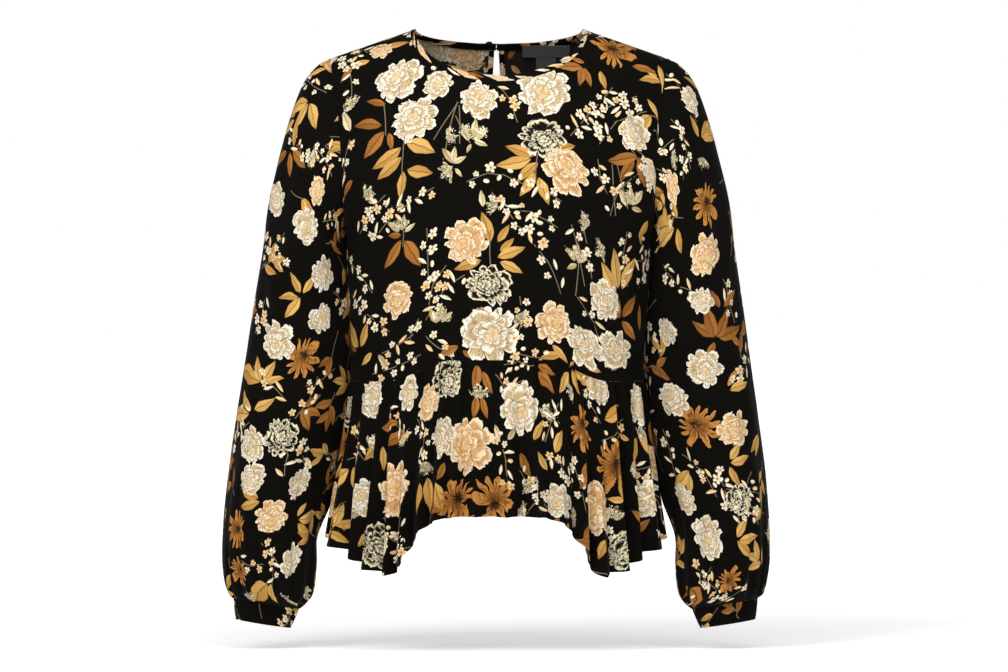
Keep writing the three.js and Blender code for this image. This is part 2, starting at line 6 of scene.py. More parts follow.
import bpy
import numpy as np
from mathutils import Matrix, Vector


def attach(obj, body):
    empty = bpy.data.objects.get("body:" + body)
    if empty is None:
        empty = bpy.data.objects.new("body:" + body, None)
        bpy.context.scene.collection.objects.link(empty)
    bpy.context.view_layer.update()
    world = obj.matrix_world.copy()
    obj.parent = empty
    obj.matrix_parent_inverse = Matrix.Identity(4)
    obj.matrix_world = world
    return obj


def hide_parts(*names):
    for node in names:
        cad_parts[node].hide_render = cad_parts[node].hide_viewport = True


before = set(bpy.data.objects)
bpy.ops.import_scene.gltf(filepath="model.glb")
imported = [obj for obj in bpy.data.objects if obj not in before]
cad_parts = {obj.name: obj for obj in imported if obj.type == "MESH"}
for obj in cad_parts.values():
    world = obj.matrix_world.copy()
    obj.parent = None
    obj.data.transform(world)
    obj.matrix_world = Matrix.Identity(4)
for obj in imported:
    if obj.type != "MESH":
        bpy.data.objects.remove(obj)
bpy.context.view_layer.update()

MM = 0.001
OUTWARD = {"front": -1, "back": 1}

# Neck
NECK_HALF_WIDTH = 95
NECK_DROP = {"front": 56, "back": 14}
NECK_LEAN = 0.85
BINDING_WIDTH = 6.5
BINDING_THICKNESS = 2.2
BINDING_GAP = 0.4
BINDING_END_GAP = 0.6
BINDING_STEPS = 70
BINDING_PROUD = 0.4

# Shoulders and armholes
SHOULDER_HALF_WIDTH = 193
SHOULDER_DROP = 34
ARMHOLE_HEIGHT = 201
ARMHOLE_DEPTH = {"front": 74, "back": 80}
SHOULDER_ROUNDING = 200
SLEEVE_GAP = 0.3

# Waist seam
WAIST_AT_SIDE = -401
WAIST_ARCH = {"front": 24, "back": 8}
ARCH_FROM = 0.3
ARCH_TO = 0.76
WAIST_GAP = 0.4

# Keyhole slit at the centre back
KEYHOLE_X = -3
KEYHOLE_NARROW = 2.4
KEYHOLE_WIDE = 6.2
KEYHOLE_STRAIGHT_TO = -22
KEYHOLE_ROUND_AT = -84
KEYHOLE_REACH = 26

# Body: height, half width, depth at the front and at the back
BODY = [
    (-34, 193, 116, 98),
    (-80, 184, 119, 104),
    (-130, 179.5, 122, 107),
    (-180, 177, 125, 106),
    (-235, 175.5, 125, 102),
    (-300, 172, 119, 95),
    (-350, 169, 113, 91),
    (-401, 168, 110, 90),
]

# Sleeve rings: outermost x and z, innermost x and z, half depth, roundness, gather height
SLEEVE = [
    (193.4, -34, 176.2, -235, 60, 0, 0),
    (207, -42, 176.8, -241, 61, 0.15, 0),
    (223, -62, 177.2, -247, 62, 0.35, 0),
    (237, -98, 177.6, -254, 63, 0.55, 0),
    (250, -144, 178, -262, 64, 0.75, 0),
    (261, -196, 178.4, -272, 65, 0.9, 0),
    (269, -252, 178.6, -290, 65, 1, 0),
    (279, -316, 178, -330, 65, 1, 0),
    (288, -378, 177, -381, 65, 1, 0),
    (296, -430, 181, -430, 66, 1, 0.2),
    (303, -475, 189, -475, 67, 1, 0.4),
    (309, -520, 198, -522, 67, 1, 0.8),
    (312, -562, 205, -568, 66, 1, 1.3),
    (312, -602, 206, -610, 61, 1, 2.2),
    (308, -630, 210, -641, 51, 1, 2.8),
    (303, -643, 217, -654, 39, 1, 2.4),
    (299, -648.5, 223.5, -660.5, 28, 1, 1.4),
]
SLEEVE_GATHERS = 14

# Long soft folds down a sleeve: degrees round from the outside, first and last ring, depth
SLEEVE_FOLDS = [
    (48, 2, 9, 4),
    (84, 6, 14, 5),
    (122, 8, 15, 4),
    (20, 9, 15, 4),
    (236, 5, 13, 5),
    (280, 3, 10, 4),
    (322, 9, 15, 4),
]
FOLD_HALF_WIDTH = 24

# Below the armhole a sleeve lies against the body at its inner back
LEAN_AT = 206
LEAN_HALF_WIDTH = 62
LEAN_REACH = 14
LEAN_TOP = -212
LEAN_END = -590

# Cuffs
CUFF_HEIGHT = 23
CUFF_TOP = (37.5, 27)
CUFF_BOTTOM = (32, 24)
CUFF_GAP = 0.3
CUFF_CRINKLE = 0.45
CUFF_CRINKLES = 42

# Peplum: hem half width and depths, waves as share of the way round and height, hem heights by angle
PEPLUM_HALF = 188
PEPLUM_DEPTH = {"front": 140, "back": 122}
PEPLUM_FLAT = 0.9
PEPLUM_WAVES = [
    (11, 8), (13, 13), (12, 7), (9, 14), (7, 7), (7, 12), (6.5, 7), (6, 10), (6, 6), (11, 11),
    (11, 7), (9, 11), (10, 7), (7.5, 12), (9, 7), (8, 14), (11, 7), (12, 13), (14, 8),
]
PEPLUM_OVERHANG = 0.085
DEEP_WAVE = 12
HEM_LIFT = 3
WAVE_DRIFT = 0.34
WAVE_WANDER = 0.13
PRINT_LEVEL = 0.6
HEM_LIFT_START = 0.6
HEM = [(0, -552), (19, -555), (28, -572), (38, -617), (52, -609), (70, -590), (90, -574)]

# The garment hangs a little to one side below the armholes
SWAY_FROM = -235
SWAY_TO = -660
SWAY_REACH = -4

# Cloth thickness as shown, and the numbers of rows and columns of each panel
CLOTH = 0.6
ARMHOLE_ROWS = 90
LOWER_ROWS = 72
HALF_COLUMNS = 86
COLUMN_CROWDING = 0.1
CLOTH_IN_BINDING = 1.4
SLEEVE_ROWS = 176
SLEEVE_COLUMNS = 168
CUFF_ROWS = 14
CUFF_COLUMNS = 210
WAVE_COLUMNS = 14
PEPLUM_ROWS = 62


# Curves and shared shapes
def curve(points):
    xs, ys = np.array(sorted(points), float).T
    place = np.arange(len(xs))
    before = np.maximum(place - 1, 0)
    after = np.minimum(place + 1, len(xs) - 1)
    slopes = (ys[after] - ys[before]) / (xs[after] - xs[before])

    def read(at):
        at = np.clip(at, xs[0], xs[-1])
        i = np.clip(np.searchsorted(xs, at, side="right") - 1, 0, len(xs) - 2)
        span = xs[i + 1] - xs[i]
        t = (at - xs[i]) / span
        start = (1 + 2 * t) * (1 - t) ** 2 * ys[i] + t * (1 - t) ** 2 * span * slopes[i]
        end = t * t * (3 - 2 * t) * ys[i + 1] + t * t * (t - 1) * span * slopes[i + 1]
        return start + end

    return read


def smooth(low, high, at):
    share = np.clip((at - low) / (high - low), 0, 1)
    return share * share * (3 - 2 * share)


body_half = curve([(row[0], row[1]) for row in BODY])
body_middle = {
    "front": curve([(row[0], row[2]) for row in BODY]),
    "back": curve([(row[0], row[3]) for row in BODY]),
}
hem_height = curve(HEM)
sleeve_ring = [curve([(k, row[part]) for k, row in enumerate(SLEEVE)]) for part in range(7)]


def shoulder_line(x):
    slope = SHOULDER_DROP / (SHOULDER_HALF_WIDTH - NECK_HALF_WIDTH)
    inside = NECK_HALF_WIDTH - np.abs(x)
    curved = slope * (inside - 0.5 * inside ** 2 / NECK_HALF_WIDTH)
    return np.where(inside < 0, slope * inside, curved)


def body_depth(x, z, side):
    from_top = np.maximum(0, shoulder_line(x) - z)
    over = np.maximum(0, 1 - from_top / SHOULDER_ROUNDING)
    down = np.clip((-SHOULDER_DROP - z) / ARMHOLE_HEIGHT, 0, 1)
    armhole = np.sqrt(1 - down ** 3)
    edge = ARMHOLE_DEPTH[side] * armhole
    across = np.minimum(1, np.abs(x) / body_half(z))
    bulge = (1 - across ** 2) ** (0.5 + 0.3 * armhole)
    return np.sqrt(1 - over ** 2) * (edge + (body_middle[side](z) - edge) * bulge)


def waist_seam(across, side):
    return WAIST_AT_SIDE + WAIST_ARCH[side] * (1 - smooth(ARCH_FROM, ARCH_TO, np.abs(across)))


def neck_point(turn, outset, side):
    half = NECK_HALF_WIDTH + outset
    x = half * np.sin(np.radians(turn))
    z = shoulder_line(half) - (NECK_DROP[side] + outset * NECK_LEAN) * np.cos(np.radians(turn))
    return np.stack([x, OUTWARD[side] * body_depth(x, z, side), z], -1)


def sway(grid):
    grid[..., 0] += SWAY_REACH * np.clip((grid[..., 2] - SWAY_FROM) / (SWAY_TO - SWAY_FROM), 0, 1)
    return grid


# Soft creases, listed one by one: place, degrees from upright, length, half width, depth
CREASE_BEND = 0.35
CREASE_TROUGH = 0.5


def crease_height(across_at, up_at, creases, around=None):
    height = np.zeros(np.broadcast(across_at, up_at).shape)
    for place, up, angle, length, width, depth in creases:
        turn = math.radians(angle)
        sideways = across_at - place
        if around:
            sideways = (sideways + around / 2) % around - around / 2
        rise = up_at - up
        along = (sideways * math.sin(turn) + rise * math.cos(turn)) / (length / 2)
        across = (sideways * math.cos(turn) - rise * math.sin(turn)) / width
        across = across + CREASE_BEND * along ** 2
        fade = np.clip(1 - along ** 2, 0, 1) ** 1.5
        ridge = np.exp(-across ** 2) - CREASE_TROUGH * np.exp(-((across - 1.7) / 1.3) ** 2)
        height += depth * fade * ridge
    return height


FRONT_CREASES = [
    (-150, -120, 24, 110, 9, 2.6),
    (-128, -150, 33, 84, 7, 1.8),
    (-158, -205, 58, 90, 8, 2.4),
    (-142, -232, 70, 76, 6, 1.7),
    (-118, -300, 14, 150, 10, 2.6),
    (-78, -330, -6, 96, 8, 1.9),
    (-150, -330, 8, 120, 8, 2.2),
    (-36, -345, 4, 62, 6, 1.2),
    (-64, -110, 12, 74, 8, 1.2),
    (-20, -250, -12, 130, 12, 1.5),
    (146, -112, -22, 118, 9, 2.6),
    (124, -158, -30, 70, 7, 1.6),
    (160, -198, -56, 84, 8, 2.4),
    (140, -240, -74, 60, 6, 1.5),
    (126, -292, -10, 160, 10, 2.8),
    (92, -322, 9, 104, 8, 2.0),
    (154, -338, -5, 98, 7, 2.2),
    (44, -340, -8, 74, 7, 1.4),
    (72, -104, -15, 66, 8, 1.3),
    (38, -214, 16, 120, 12, 1.5),
]
BACK_CREASES = [
    (-146, -104, 20, 120, 9, 2.5),
    (-120, -140, 36, 92, 8, 2.0),
    (-156, -212, 62, 86, 8, 2.3),
    (-112, -286, 12, 170, 11, 2.8),
    (-150, -322, 4, 120, 8, 2.2),
    (-70, -318, -8, 120, 9, 2.2),
    (-26, -190, 5, 160, 9, 1.8),
    (-34, -346, -3, 66, 6, 1.3),
    (22, -170, -8, 140, 9, 1.6),
    (30, -330, 8, 96, 8, 1.8),
    (82, -300, 6, 150, 10, 2.4),
    (140, -116, -26, 104, 9, 2.5),
    (116, -166, -40, 78, 7, 1.8),
    (158, -220, -60, 80, 8, 2.2),
    (128, -300, -12, 150, 10, 2.7),
    (156, -340, -3, 94, 7, 2.0),
]

# Sleeve creases: degrees round from the outside, height, tilt, length, half width, depth
SLEEVE_CREASES = {
    -1: [
        (64, -118, -28, 120, 8, 2.6),
        (104, -150, -44, 84, 7, 2.2),
        (132, -190, -58, 70, 6, 1.8),
        (78, -236, 18, 150, 9, 2.8),
        (114, -268, 52, 78, 7, 2.2),
        (52, -300, -22, 104, 8, 2.4),
        (96, -334, -50, 90, 7, 2.6),
        (68, -372, 40, 84, 7, 2.2),
        (126, -360, 30, 110, 8, 2.4),
        (40, -410, 10, 130, 8, 2.6),
        (88, -446, -18, 140, 9, 3.0),
        (110, -500, 12, 110, 8, 2.6),
        (60, -520, -10, 120, 8, 2.8),
        (30, -556, 6, 96, 7, 2.2),
        (136, -540, -8, 92, 7, 2.2),
        (82, -578, 4, 70, 6, 2.0),
        (16, -190, 10, 130, 9, 2.0),
        (246, -140, 30, 110, 8, 2.6),
        (282, -190, 46, 90, 7, 2.2),
        (222, -260, -20, 130, 8, 2.6),
        (268, -320, 38, 110, 8, 2.6),
        (304, -380, -16, 120, 8, 2.4),
        (240, -420, 12, 140, 9, 2.8),
        (286, -480, -10, 120, 8, 2.6),
        (330, -520, 8, 110, 8, 2.4),
        (256, -560, -5, 86, 7, 2.2),
        (190, -400, 10, 150, 8, 2.0),
        (184, -530, -8, 120, 7, 2.0),
    ],
    1: [
        (58, -104, -24, 108, 8, 2.5),
        (98, -138, -40, 94, 7, 2.3),
        (128, -204, -54, 80, 7, 2.0),
        (70, -222, 14, 136, 9, 2.6),
        (108, -282, 46, 86, 7, 2.3),
        (46, -286, -18, 120, 8, 2.3),
        (86, -322, -44, 74, 6, 2.2),
        (120, -348, 36, 96, 8, 2.5),
        (62, -356, 34, 96, 7, 2.3),
        (96, -412, -24, 118, 8, 2.7),
        (34, -430, 8, 144, 9, 2.6),
        (124, -462, 16, 120, 8, 2.4),
        (74, -486, -12, 132, 9, 3.0),
        (104, -540, 8, 96, 8, 2.4),
        (48, -546, -6, 104, 8, 2.6),
        (20, -578, 6, 76, 6, 2.0),
        (140, -560, 5, 84, 7, 2.0),
        (12, -206, -8, 110, 9, 2.0),
        (240, -128, 26, 120, 8, 2.5),
        (276, -206, 42, 84, 7, 2.3),
        (216, -282, -16, 140, 9, 2.5),
        (262, -306, 30, 96, 7, 2.4),
        (298, -364, -20, 128, 8, 2.5),
        (234, -436, 10, 120, 8, 2.6),
        (280, -500, -8, 130, 9, 2.7),
        (324, -540, 6, 100, 8, 2.3),
        (250, -574, -4, 74, 6, 2.0),
        (188, -380, -6, 130, 8, 2.0),
    ],
}
SLEEVE_GIRTH = 300

# Seam puckers along the waist, the armholes and the shoulders
SEAM_SINK = 0.7
SEAM_REACH = 5
PUCKER = 0.35
PUCKER_RISE = 1.5
PUCKER_PACE = 0.62
PUCKER_SWING = 1.3
PUCKER_DRIFT = 0.21
FAR_AWAY = 99

# How far creases stay off the neck, the sides, the waist and the keyhole, and the panels off the middle plane
NECK_CLEAR = (4, 26)
SIDE_CLEAR = 22
WAIST_CLEAR = 14
KEYHOLE_CLEAR_BELOW = 90
KEYHOLE_CLEAR = 16
BINDING_FALL = 60
MIDDLE_GAP = 0.15

# Gathers of the sleeves, by height
RING_CROWDING = 0.12
GATHERS_FROM = -455
GATHERS_UNEVEN = 60
GATHERS_TO = -640
GATHERS_SOFT = 0.65
FINE_GATHERS = 0.9
FINE_GATHERS_FALL = 0.3
FINE_GATHERS_END = (-646, -656)
FULLNESS = 0.25
FULL_FROM = -430

# Crinkle of the cuffs, by share of their height
CRINKLE_EVEN = 0.55
CUFF_CROWN = 0.35
CUFF_STITCH = 0.4
CUFF_STITCH_AT = 0.93
CUFF_STITCH_WIDTH = 0.04
CUFF_FULLNESS = 1.3

# Uneven shape of the peplum
LEVEL_CROWDING = 1.1
HEM_LIFT_PACE = 1.9
HEM_LIFT_LEAST = 0.25
HEM_LIFT_FULL = (0.3, 0.6)
DRIFT_FALL = 1.6
GROWTH = 1.1
GROWTH_UNEVEN = 0.6
HEIGHT_UNEVEN = 0.22
RIPPLE_REACH = 0.26
RIPPLE_UNEVEN = 0.12
RIPPLE_HEIGHT = 1.35
ROLL = 1.6


# Grids of points
def bodice_rows(extra=()):
    length = -SHOULDER_DROP - WAIST_AT_SIDE
    steps = np.arange(ARMHOLE_ROWS + 1) / ARMHOLE_ROWS
    upper = ARMHOLE_HEIGHT * (1 - np.cos(np.pi * steps)) / 2 / length
    lower = np.linspace(upper[-1], 1, LOWER_ROWS + 1)[1:]
    return np.unique(np.concatenate([upper, lower, extra]))


def bodice_columns():
    even = np.linspace(0, 1, HALF_COLUMNS + 1)
    half = even + COLUMN_CROWDING * np.sin(np.pi * even)
    return np.concatenate([-half[:0:-1], half])


def keyhole_half(z):
    along = np.clip((z - KEYHOLE_ROUND_AT) / (KEYHOLE_STRAIGHT_TO - KEYHOLE_ROUND_AT), 0, 1)
    straight = KEYHOLE_WIDE + (KEYHOLE_NARROW - KEYHOLE_WIDE) * along
    below = np.clip((KEYHOLE_ROUND_AT - z) / KEYHOLE_WIDE, 0, 1)
    return np.where(z > KEYHOLE_ROUND_AT, straight, KEYHOLE_WIDE * np.sqrt(1 - below ** 2))


def in_neck_hole(x, z, side):
    half = NECK_HALF_WIDTH + CLOTH_IN_BINDING
    drop = NECK_DROP[side] + NECK_LEAN * CLOTH_IN_BINDING
    below = np.maximum(0, shoulder_line(half) - z)
    return (x / half) ** 2 + (below / drop) ** 2 < 1


def bodice_grid(side):
    columns = bodice_columns()
    extra = ()
    if side == "back":
        top = shoulder_line(KEYHOLE_X)
        levels = KEYHOLE_ROUND_AT - KEYHOLE_WIDE * np.sin(np.radians([0, 20, 40, 55, 70, 80, 90]))
        extra = (top - levels) / (top - waist_seam(0, side))
        place = KEYHOLE_X / SHOULDER_HALF_WIDTH
        nearest = np.argmin(np.abs(columns - place))
        columns = np.sort(np.append(np.delete(columns, nearest), [place - 1e-4, place + 1e-4]))
    rows = bodice_rows(extra)[:, None]
    across = columns[None, :]
    half = body_half(-SHOULDER_DROP + rows * (WAIST_AT_SIDE + SHOULDER_DROP))
    top = shoulder_line(across * SHOULDER_HALF_WIDTH)
    z = top + (waist_seam(across, side) - top) * rows
    x = across * half
    in_hole = in_neck_hole(x, z, side)
    kept = ~(in_hole[:-1, :-1] | in_hole[1:, :-1] | in_hole[:-1, 1:] | in_hole[1:, 1:])
    if side == "back":
        gap = x - KEYHOLE_X / SHOULDER_HALF_WIDTH * half
        near = np.clip(1 - np.abs(gap) / KEYHOLE_REACH, 0, 1)
        x = x + near * (KEYHOLE_X * (1 - half / SHOULDER_HALF_WIDTH) + keyhole_half(z) * np.sign(gap))
        slit = np.searchsorted(columns, KEYHOLE_X / SHOULDER_HALF_WIDTH) - 1
        centre = (z[:-1, slit] + z[1:, slit]) / 2
        kept[:, slit] &= centre < KEYHOLE_ROUND_AT - KEYHOLE_WIDE
    y = OUTWARD[side] * body_depth(x, z, side)
    return np.stack([x, y, z], -1), kept, columns


def off_middle(y, side):
    return np.where(OUTWARD[side] * y < MIDDLE_GAP, OUTWARD[side] * MIDDLE_GAP, y)


def grid_normals(grid, closed=False):
    if closed:
        right = np.roll(grid, -1, 1) - np.roll(grid, 1, 1)
    else:
        right = np.gradient(grid, axis=1)
    down = np.gradient(grid, axis=0)
    normal = np.cross(right, down)
    return normal / np.maximum(np.linalg.norm(normal, axis=-1, keepdims=True), 1e-9)


def arc(grid, axis):
    steps = np.linalg.norm(np.diff(grid, axis=axis), axis=-1)
    zero = np.zeros_like(np.take(steps, [0], axis=axis))
    return np.concatenate([zero, np.cumsum(steps, axis=axis)], axis=axis)


def bodice(side):
    grid, kept, columns = bodice_grid(side)
    centre = np.argmin(np.abs(columns))
    flat_across = arc(grid, 1)
    flat_across = flat_across - flat_across[:, [centre]]
    drop = arc(grid, 0)
    flat_up = drop[-1:, :] - drop
    x, z = grid[..., 0], grid[..., 2]
    half, deep = NECK_HALF_WIDTH + BINDING_WIDTH, NECK_DROP[side] + NECK_LEAN * BINDING_WIDTH
    below = np.maximum(0, shoulder_line(half) - z)
    from_binding = (np.hypot(x / half, below / deep) - 1) * BINDING_FALL
    from_neck = np.minimum(drop, np.maximum(0, from_binding))
    from_side = np.minimum(flat_across - flat_across[:, [0]], flat_across[:, [-1]] - flat_across)
    edge = smooth(*NECK_CLEAR, from_neck) * smooth(0, SIDE_CLEAR, from_side) * smooth(0, WAIST_CLEAR, flat_up)
    creases = FRONT_CREASES if side == "front" else BACK_CREASES
    height = crease_height(x, z, creases) * edge
    if side == "back":
        from_slit = np.hypot(x - KEYHOLE_X, np.minimum(0, z + KEYHOLE_CLEAR_BELOW))
        height *= 1 - np.clip(1 - from_slit / KEYHOLE_CLEAR, 0, 1)
    over_neck = np.abs(x) < NECK_HALF_WIDTH + BINDING_WIDTH
    at_shoulder = np.where(over_neck, FAR_AWAY, from_neck)
    for distance, pace in ((flat_up, flat_across), (from_side, flat_up), (at_shoulder, x)):
        near = np.exp(-(distance / SEAM_REACH) ** 2) * np.clip(distance / PUCKER_RISE, 0, 1)
        wander = PUCKER_SWING * np.sin(pace * PUCKER_DRIFT)
        height -= near * (SEAM_SINK + PUCKER * np.sin(pace * PUCKER_PACE + wander))
    normal = grid_normals(grid) * OUTWARD[side]
    grid = grid + normal * height[..., None]
    grid[..., 1] = off_middle(grid[..., 1], side)
    return sway(grid), kept, flat_across, flat_up


def sleeve_fold(k, degrees):
    depth = np.zeros(np.broadcast(k, degrees).shape)
    for at, first, last, deep in SLEEVE_FOLDS:
        apart = np.abs((degrees - at + 540) % 360 - 180) / FOLD_HALF_WIDTH
        along = np.sin(np.pi * np.clip((k - first) / (last - first), 0, 1))
        depth += deep * along * np.cos(np.pi / 2 * np.minimum(1, apart))
    return depth


def gather_noise(degrees, seed):
    rng = random.Random(seed)
    waves = [(rng.randint(2, 11), rng.uniform(0, 6.28)) for _ in range(5)]
    return sum(np.sin(np.radians(degrees) * pace + start) for pace, start in waves) / 3


def sleeve(hand):
    k = np.linspace(0, 1, SLEEVE_ROWS + 1)[:, None]
    last = len(SLEEVE) - 1
    k = last * (k + RING_CROWDING * k * (1 - k))
    turn = np.linspace(0, 2 * np.pi, SLEEVE_COLUMNS + 1)[None, :-1]
    degrees = np.degrees(turn)
    out_x, out_z, in_x, in_z, ring_depth, rounded, gather = (part(k) for part in sleeve_ring)
    rounded = np.clip(rounded, 0, 1)
    arm_z = -SHOULDER_DROP - ARMHOLE_HEIGHT * (1 - np.cos(turn)) / 2
    arm_x = body_half(arm_z)
    front = turn <= np.pi
    arm_depth = np.where(front, body_depth(arm_x, arm_z, "front"), body_depth(arm_x, arm_z, "back"))
    first_middle = (SLEEVE[0][0] + SLEEVE[0][2]) / 2
    first_reach = (SLEEVE[0][0] - SLEEVE[0][2]) / 2
    bow = (arm_x + SLEEVE_GAP - first_middle - first_reach * np.cos(turn)) * (1 - rounded)
    reach_x, reach_z = (out_x - in_x) / 2, (out_z - in_z) / 2
    wide = np.abs(np.sin(turn))
    depth = arm_depth * (1 - rounded) + ring_depth * wide * rounded
    middle_z = (out_z + in_z) / 2
    height_at = middle_z + reach_z * np.cos(turn)
    uneven = gather_noise(degrees, 7 + hand)
    near = smooth(GATHERS_FROM - GATHERS_UNEVEN * uneven, GATHERS_TO, height_at)
    swell = -np.cos(SLEEVE_GATHERS * turn + 0.5 * uneven * (1 - k / last)) * gather
    fine = np.sin(3 * SLEEVE_GATHERS * turn + 1.4 * gather_noise(degrees, 31 + hand))
    ending = 1 - FINE_GATHERS_FALL * smooth(*FINE_GATHERS_END, height_at)
    swell = swell * (GATHERS_SOFT + (1 - GATHERS_SOFT) * near) + FINE_GATHERS * near ** 3 * fine * ending
    swell = swell - sleeve_fold(k, degrees)
    pace = SLEEVE_GIRTH / 360
    creases = [(at * pace, *rest) for at, *rest in SLEEVE_CREASES[hand]]
    edge = smooth(0, 1.6, k) * smooth(last, last - 0.9, k)
    swell = swell + crease_height(degrees * pace, height_at, creases, SLEEVE_GIRTH) * edge
    armhole = np.exp(-(k * 12 / SEAM_REACH) ** 2) * np.clip(k * 6, 0, 1)
    swell = swell - armhole * (SEAM_SINK + PUCKER * np.sin(degrees * 0.9 + 2 * uneven)) * (k > 0)
    size = np.hypot(reach_x, reach_z)
    radial = 1 + swell / size
    apart = (degrees - LEAN_AT) / LEAN_HALF_WIDTH
    lean = LEAN_REACH * np.clip(1 - apart ** 2, 0, 1) ** 1.5
    lean = lean * smooth(LEAN_TOP, LEAN_TOP - 40, height_at) * smooth(LEAN_END, LEAN_END + 60, height_at)
    x = (out_x + in_x) / 2 + reach_x * np.cos(turn) * radial + bow - lean
    y = np.where(front, -1, 1) * (depth + swell * wide)
    z = middle_z + reach_z * np.cos(turn) * radial
    grid = np.stack([x * hand, y, z], -1)
    closed = np.concatenate([grid, grid[:, :1]], 1)
    across = arc(closed, 1)
    girth = across[:, -1:]
    signed = np.where(across > girth / 2, across - girth, across)
    full = 1 + FULLNESS * smooth(FULL_FROM, GATHERS_TO, height_at)
    flat_across = -hand * signed[:, :-1] * full
    drop = arc(grid, 0)
    flat_up = drop[-1:, :] - drop
    return sway(grid), flat_across, flat_up


def cuff(hand):
    wrist = SLEEVE[-1]
    lean = math.atan2(wrist[1] - wrist[3], wrist[0] - wrist[2])
    top = np.array([(wrist[0] + wrist[2]) / 2, 0, (wrist[1] + wrist[3]) / 2])
    down = np.array([math.sin(lean), 0, -math.cos(lean)])
    side = np.array([math.cos(lean), 0, math.sin(lean)])
    share = np.linspace(0, 1, CUFF_ROWS + 1)[:, None]
    turn = np.linspace(0, 2 * np.pi, CUFF_COLUMNS + 1)[None, :-1]
    noise = gather_noise(np.degrees(turn), 90 + hand)
    crinkle = CUFF_CRINKLE * np.sin(CUFF_CRINKLES * turn + 1.5 * noise)
    crinkle = crinkle * (CRINKLE_EVEN + (1 - CRINKLE_EVEN) * np.cos(np.pi * share + noise))
    stitched = CUFF_STITCH * np.exp(-((share - CUFF_STITCH_AT) / CUFF_STITCH_WIDTH) ** 2)
    crinkle = crinkle + CUFF_CROWN * np.sin(np.pi * share) - stitched
    half = CUFF_TOP[0] + (CUFF_BOTTOM[0] - CUFF_TOP[0]) * share + crinkle
    depth = CUFF_TOP[1] + (CUFF_BOTTOM[1] - CUFF_TOP[1]) * share + crinkle
    level = (CUFF_GAP + CUFF_HEIGHT * share)[..., None]
    grid = top + down * level + side * (half * np.cos(turn))[..., None]
    grid[..., 1] -= depth * np.sin(turn)
    grid[..., 0] *= hand
    ends = arc(grid, 0)
    across = arc(grid, 1)
    return sway(grid), -hand * across * CUFF_FULLNESS, ends[-1:, :] - ends


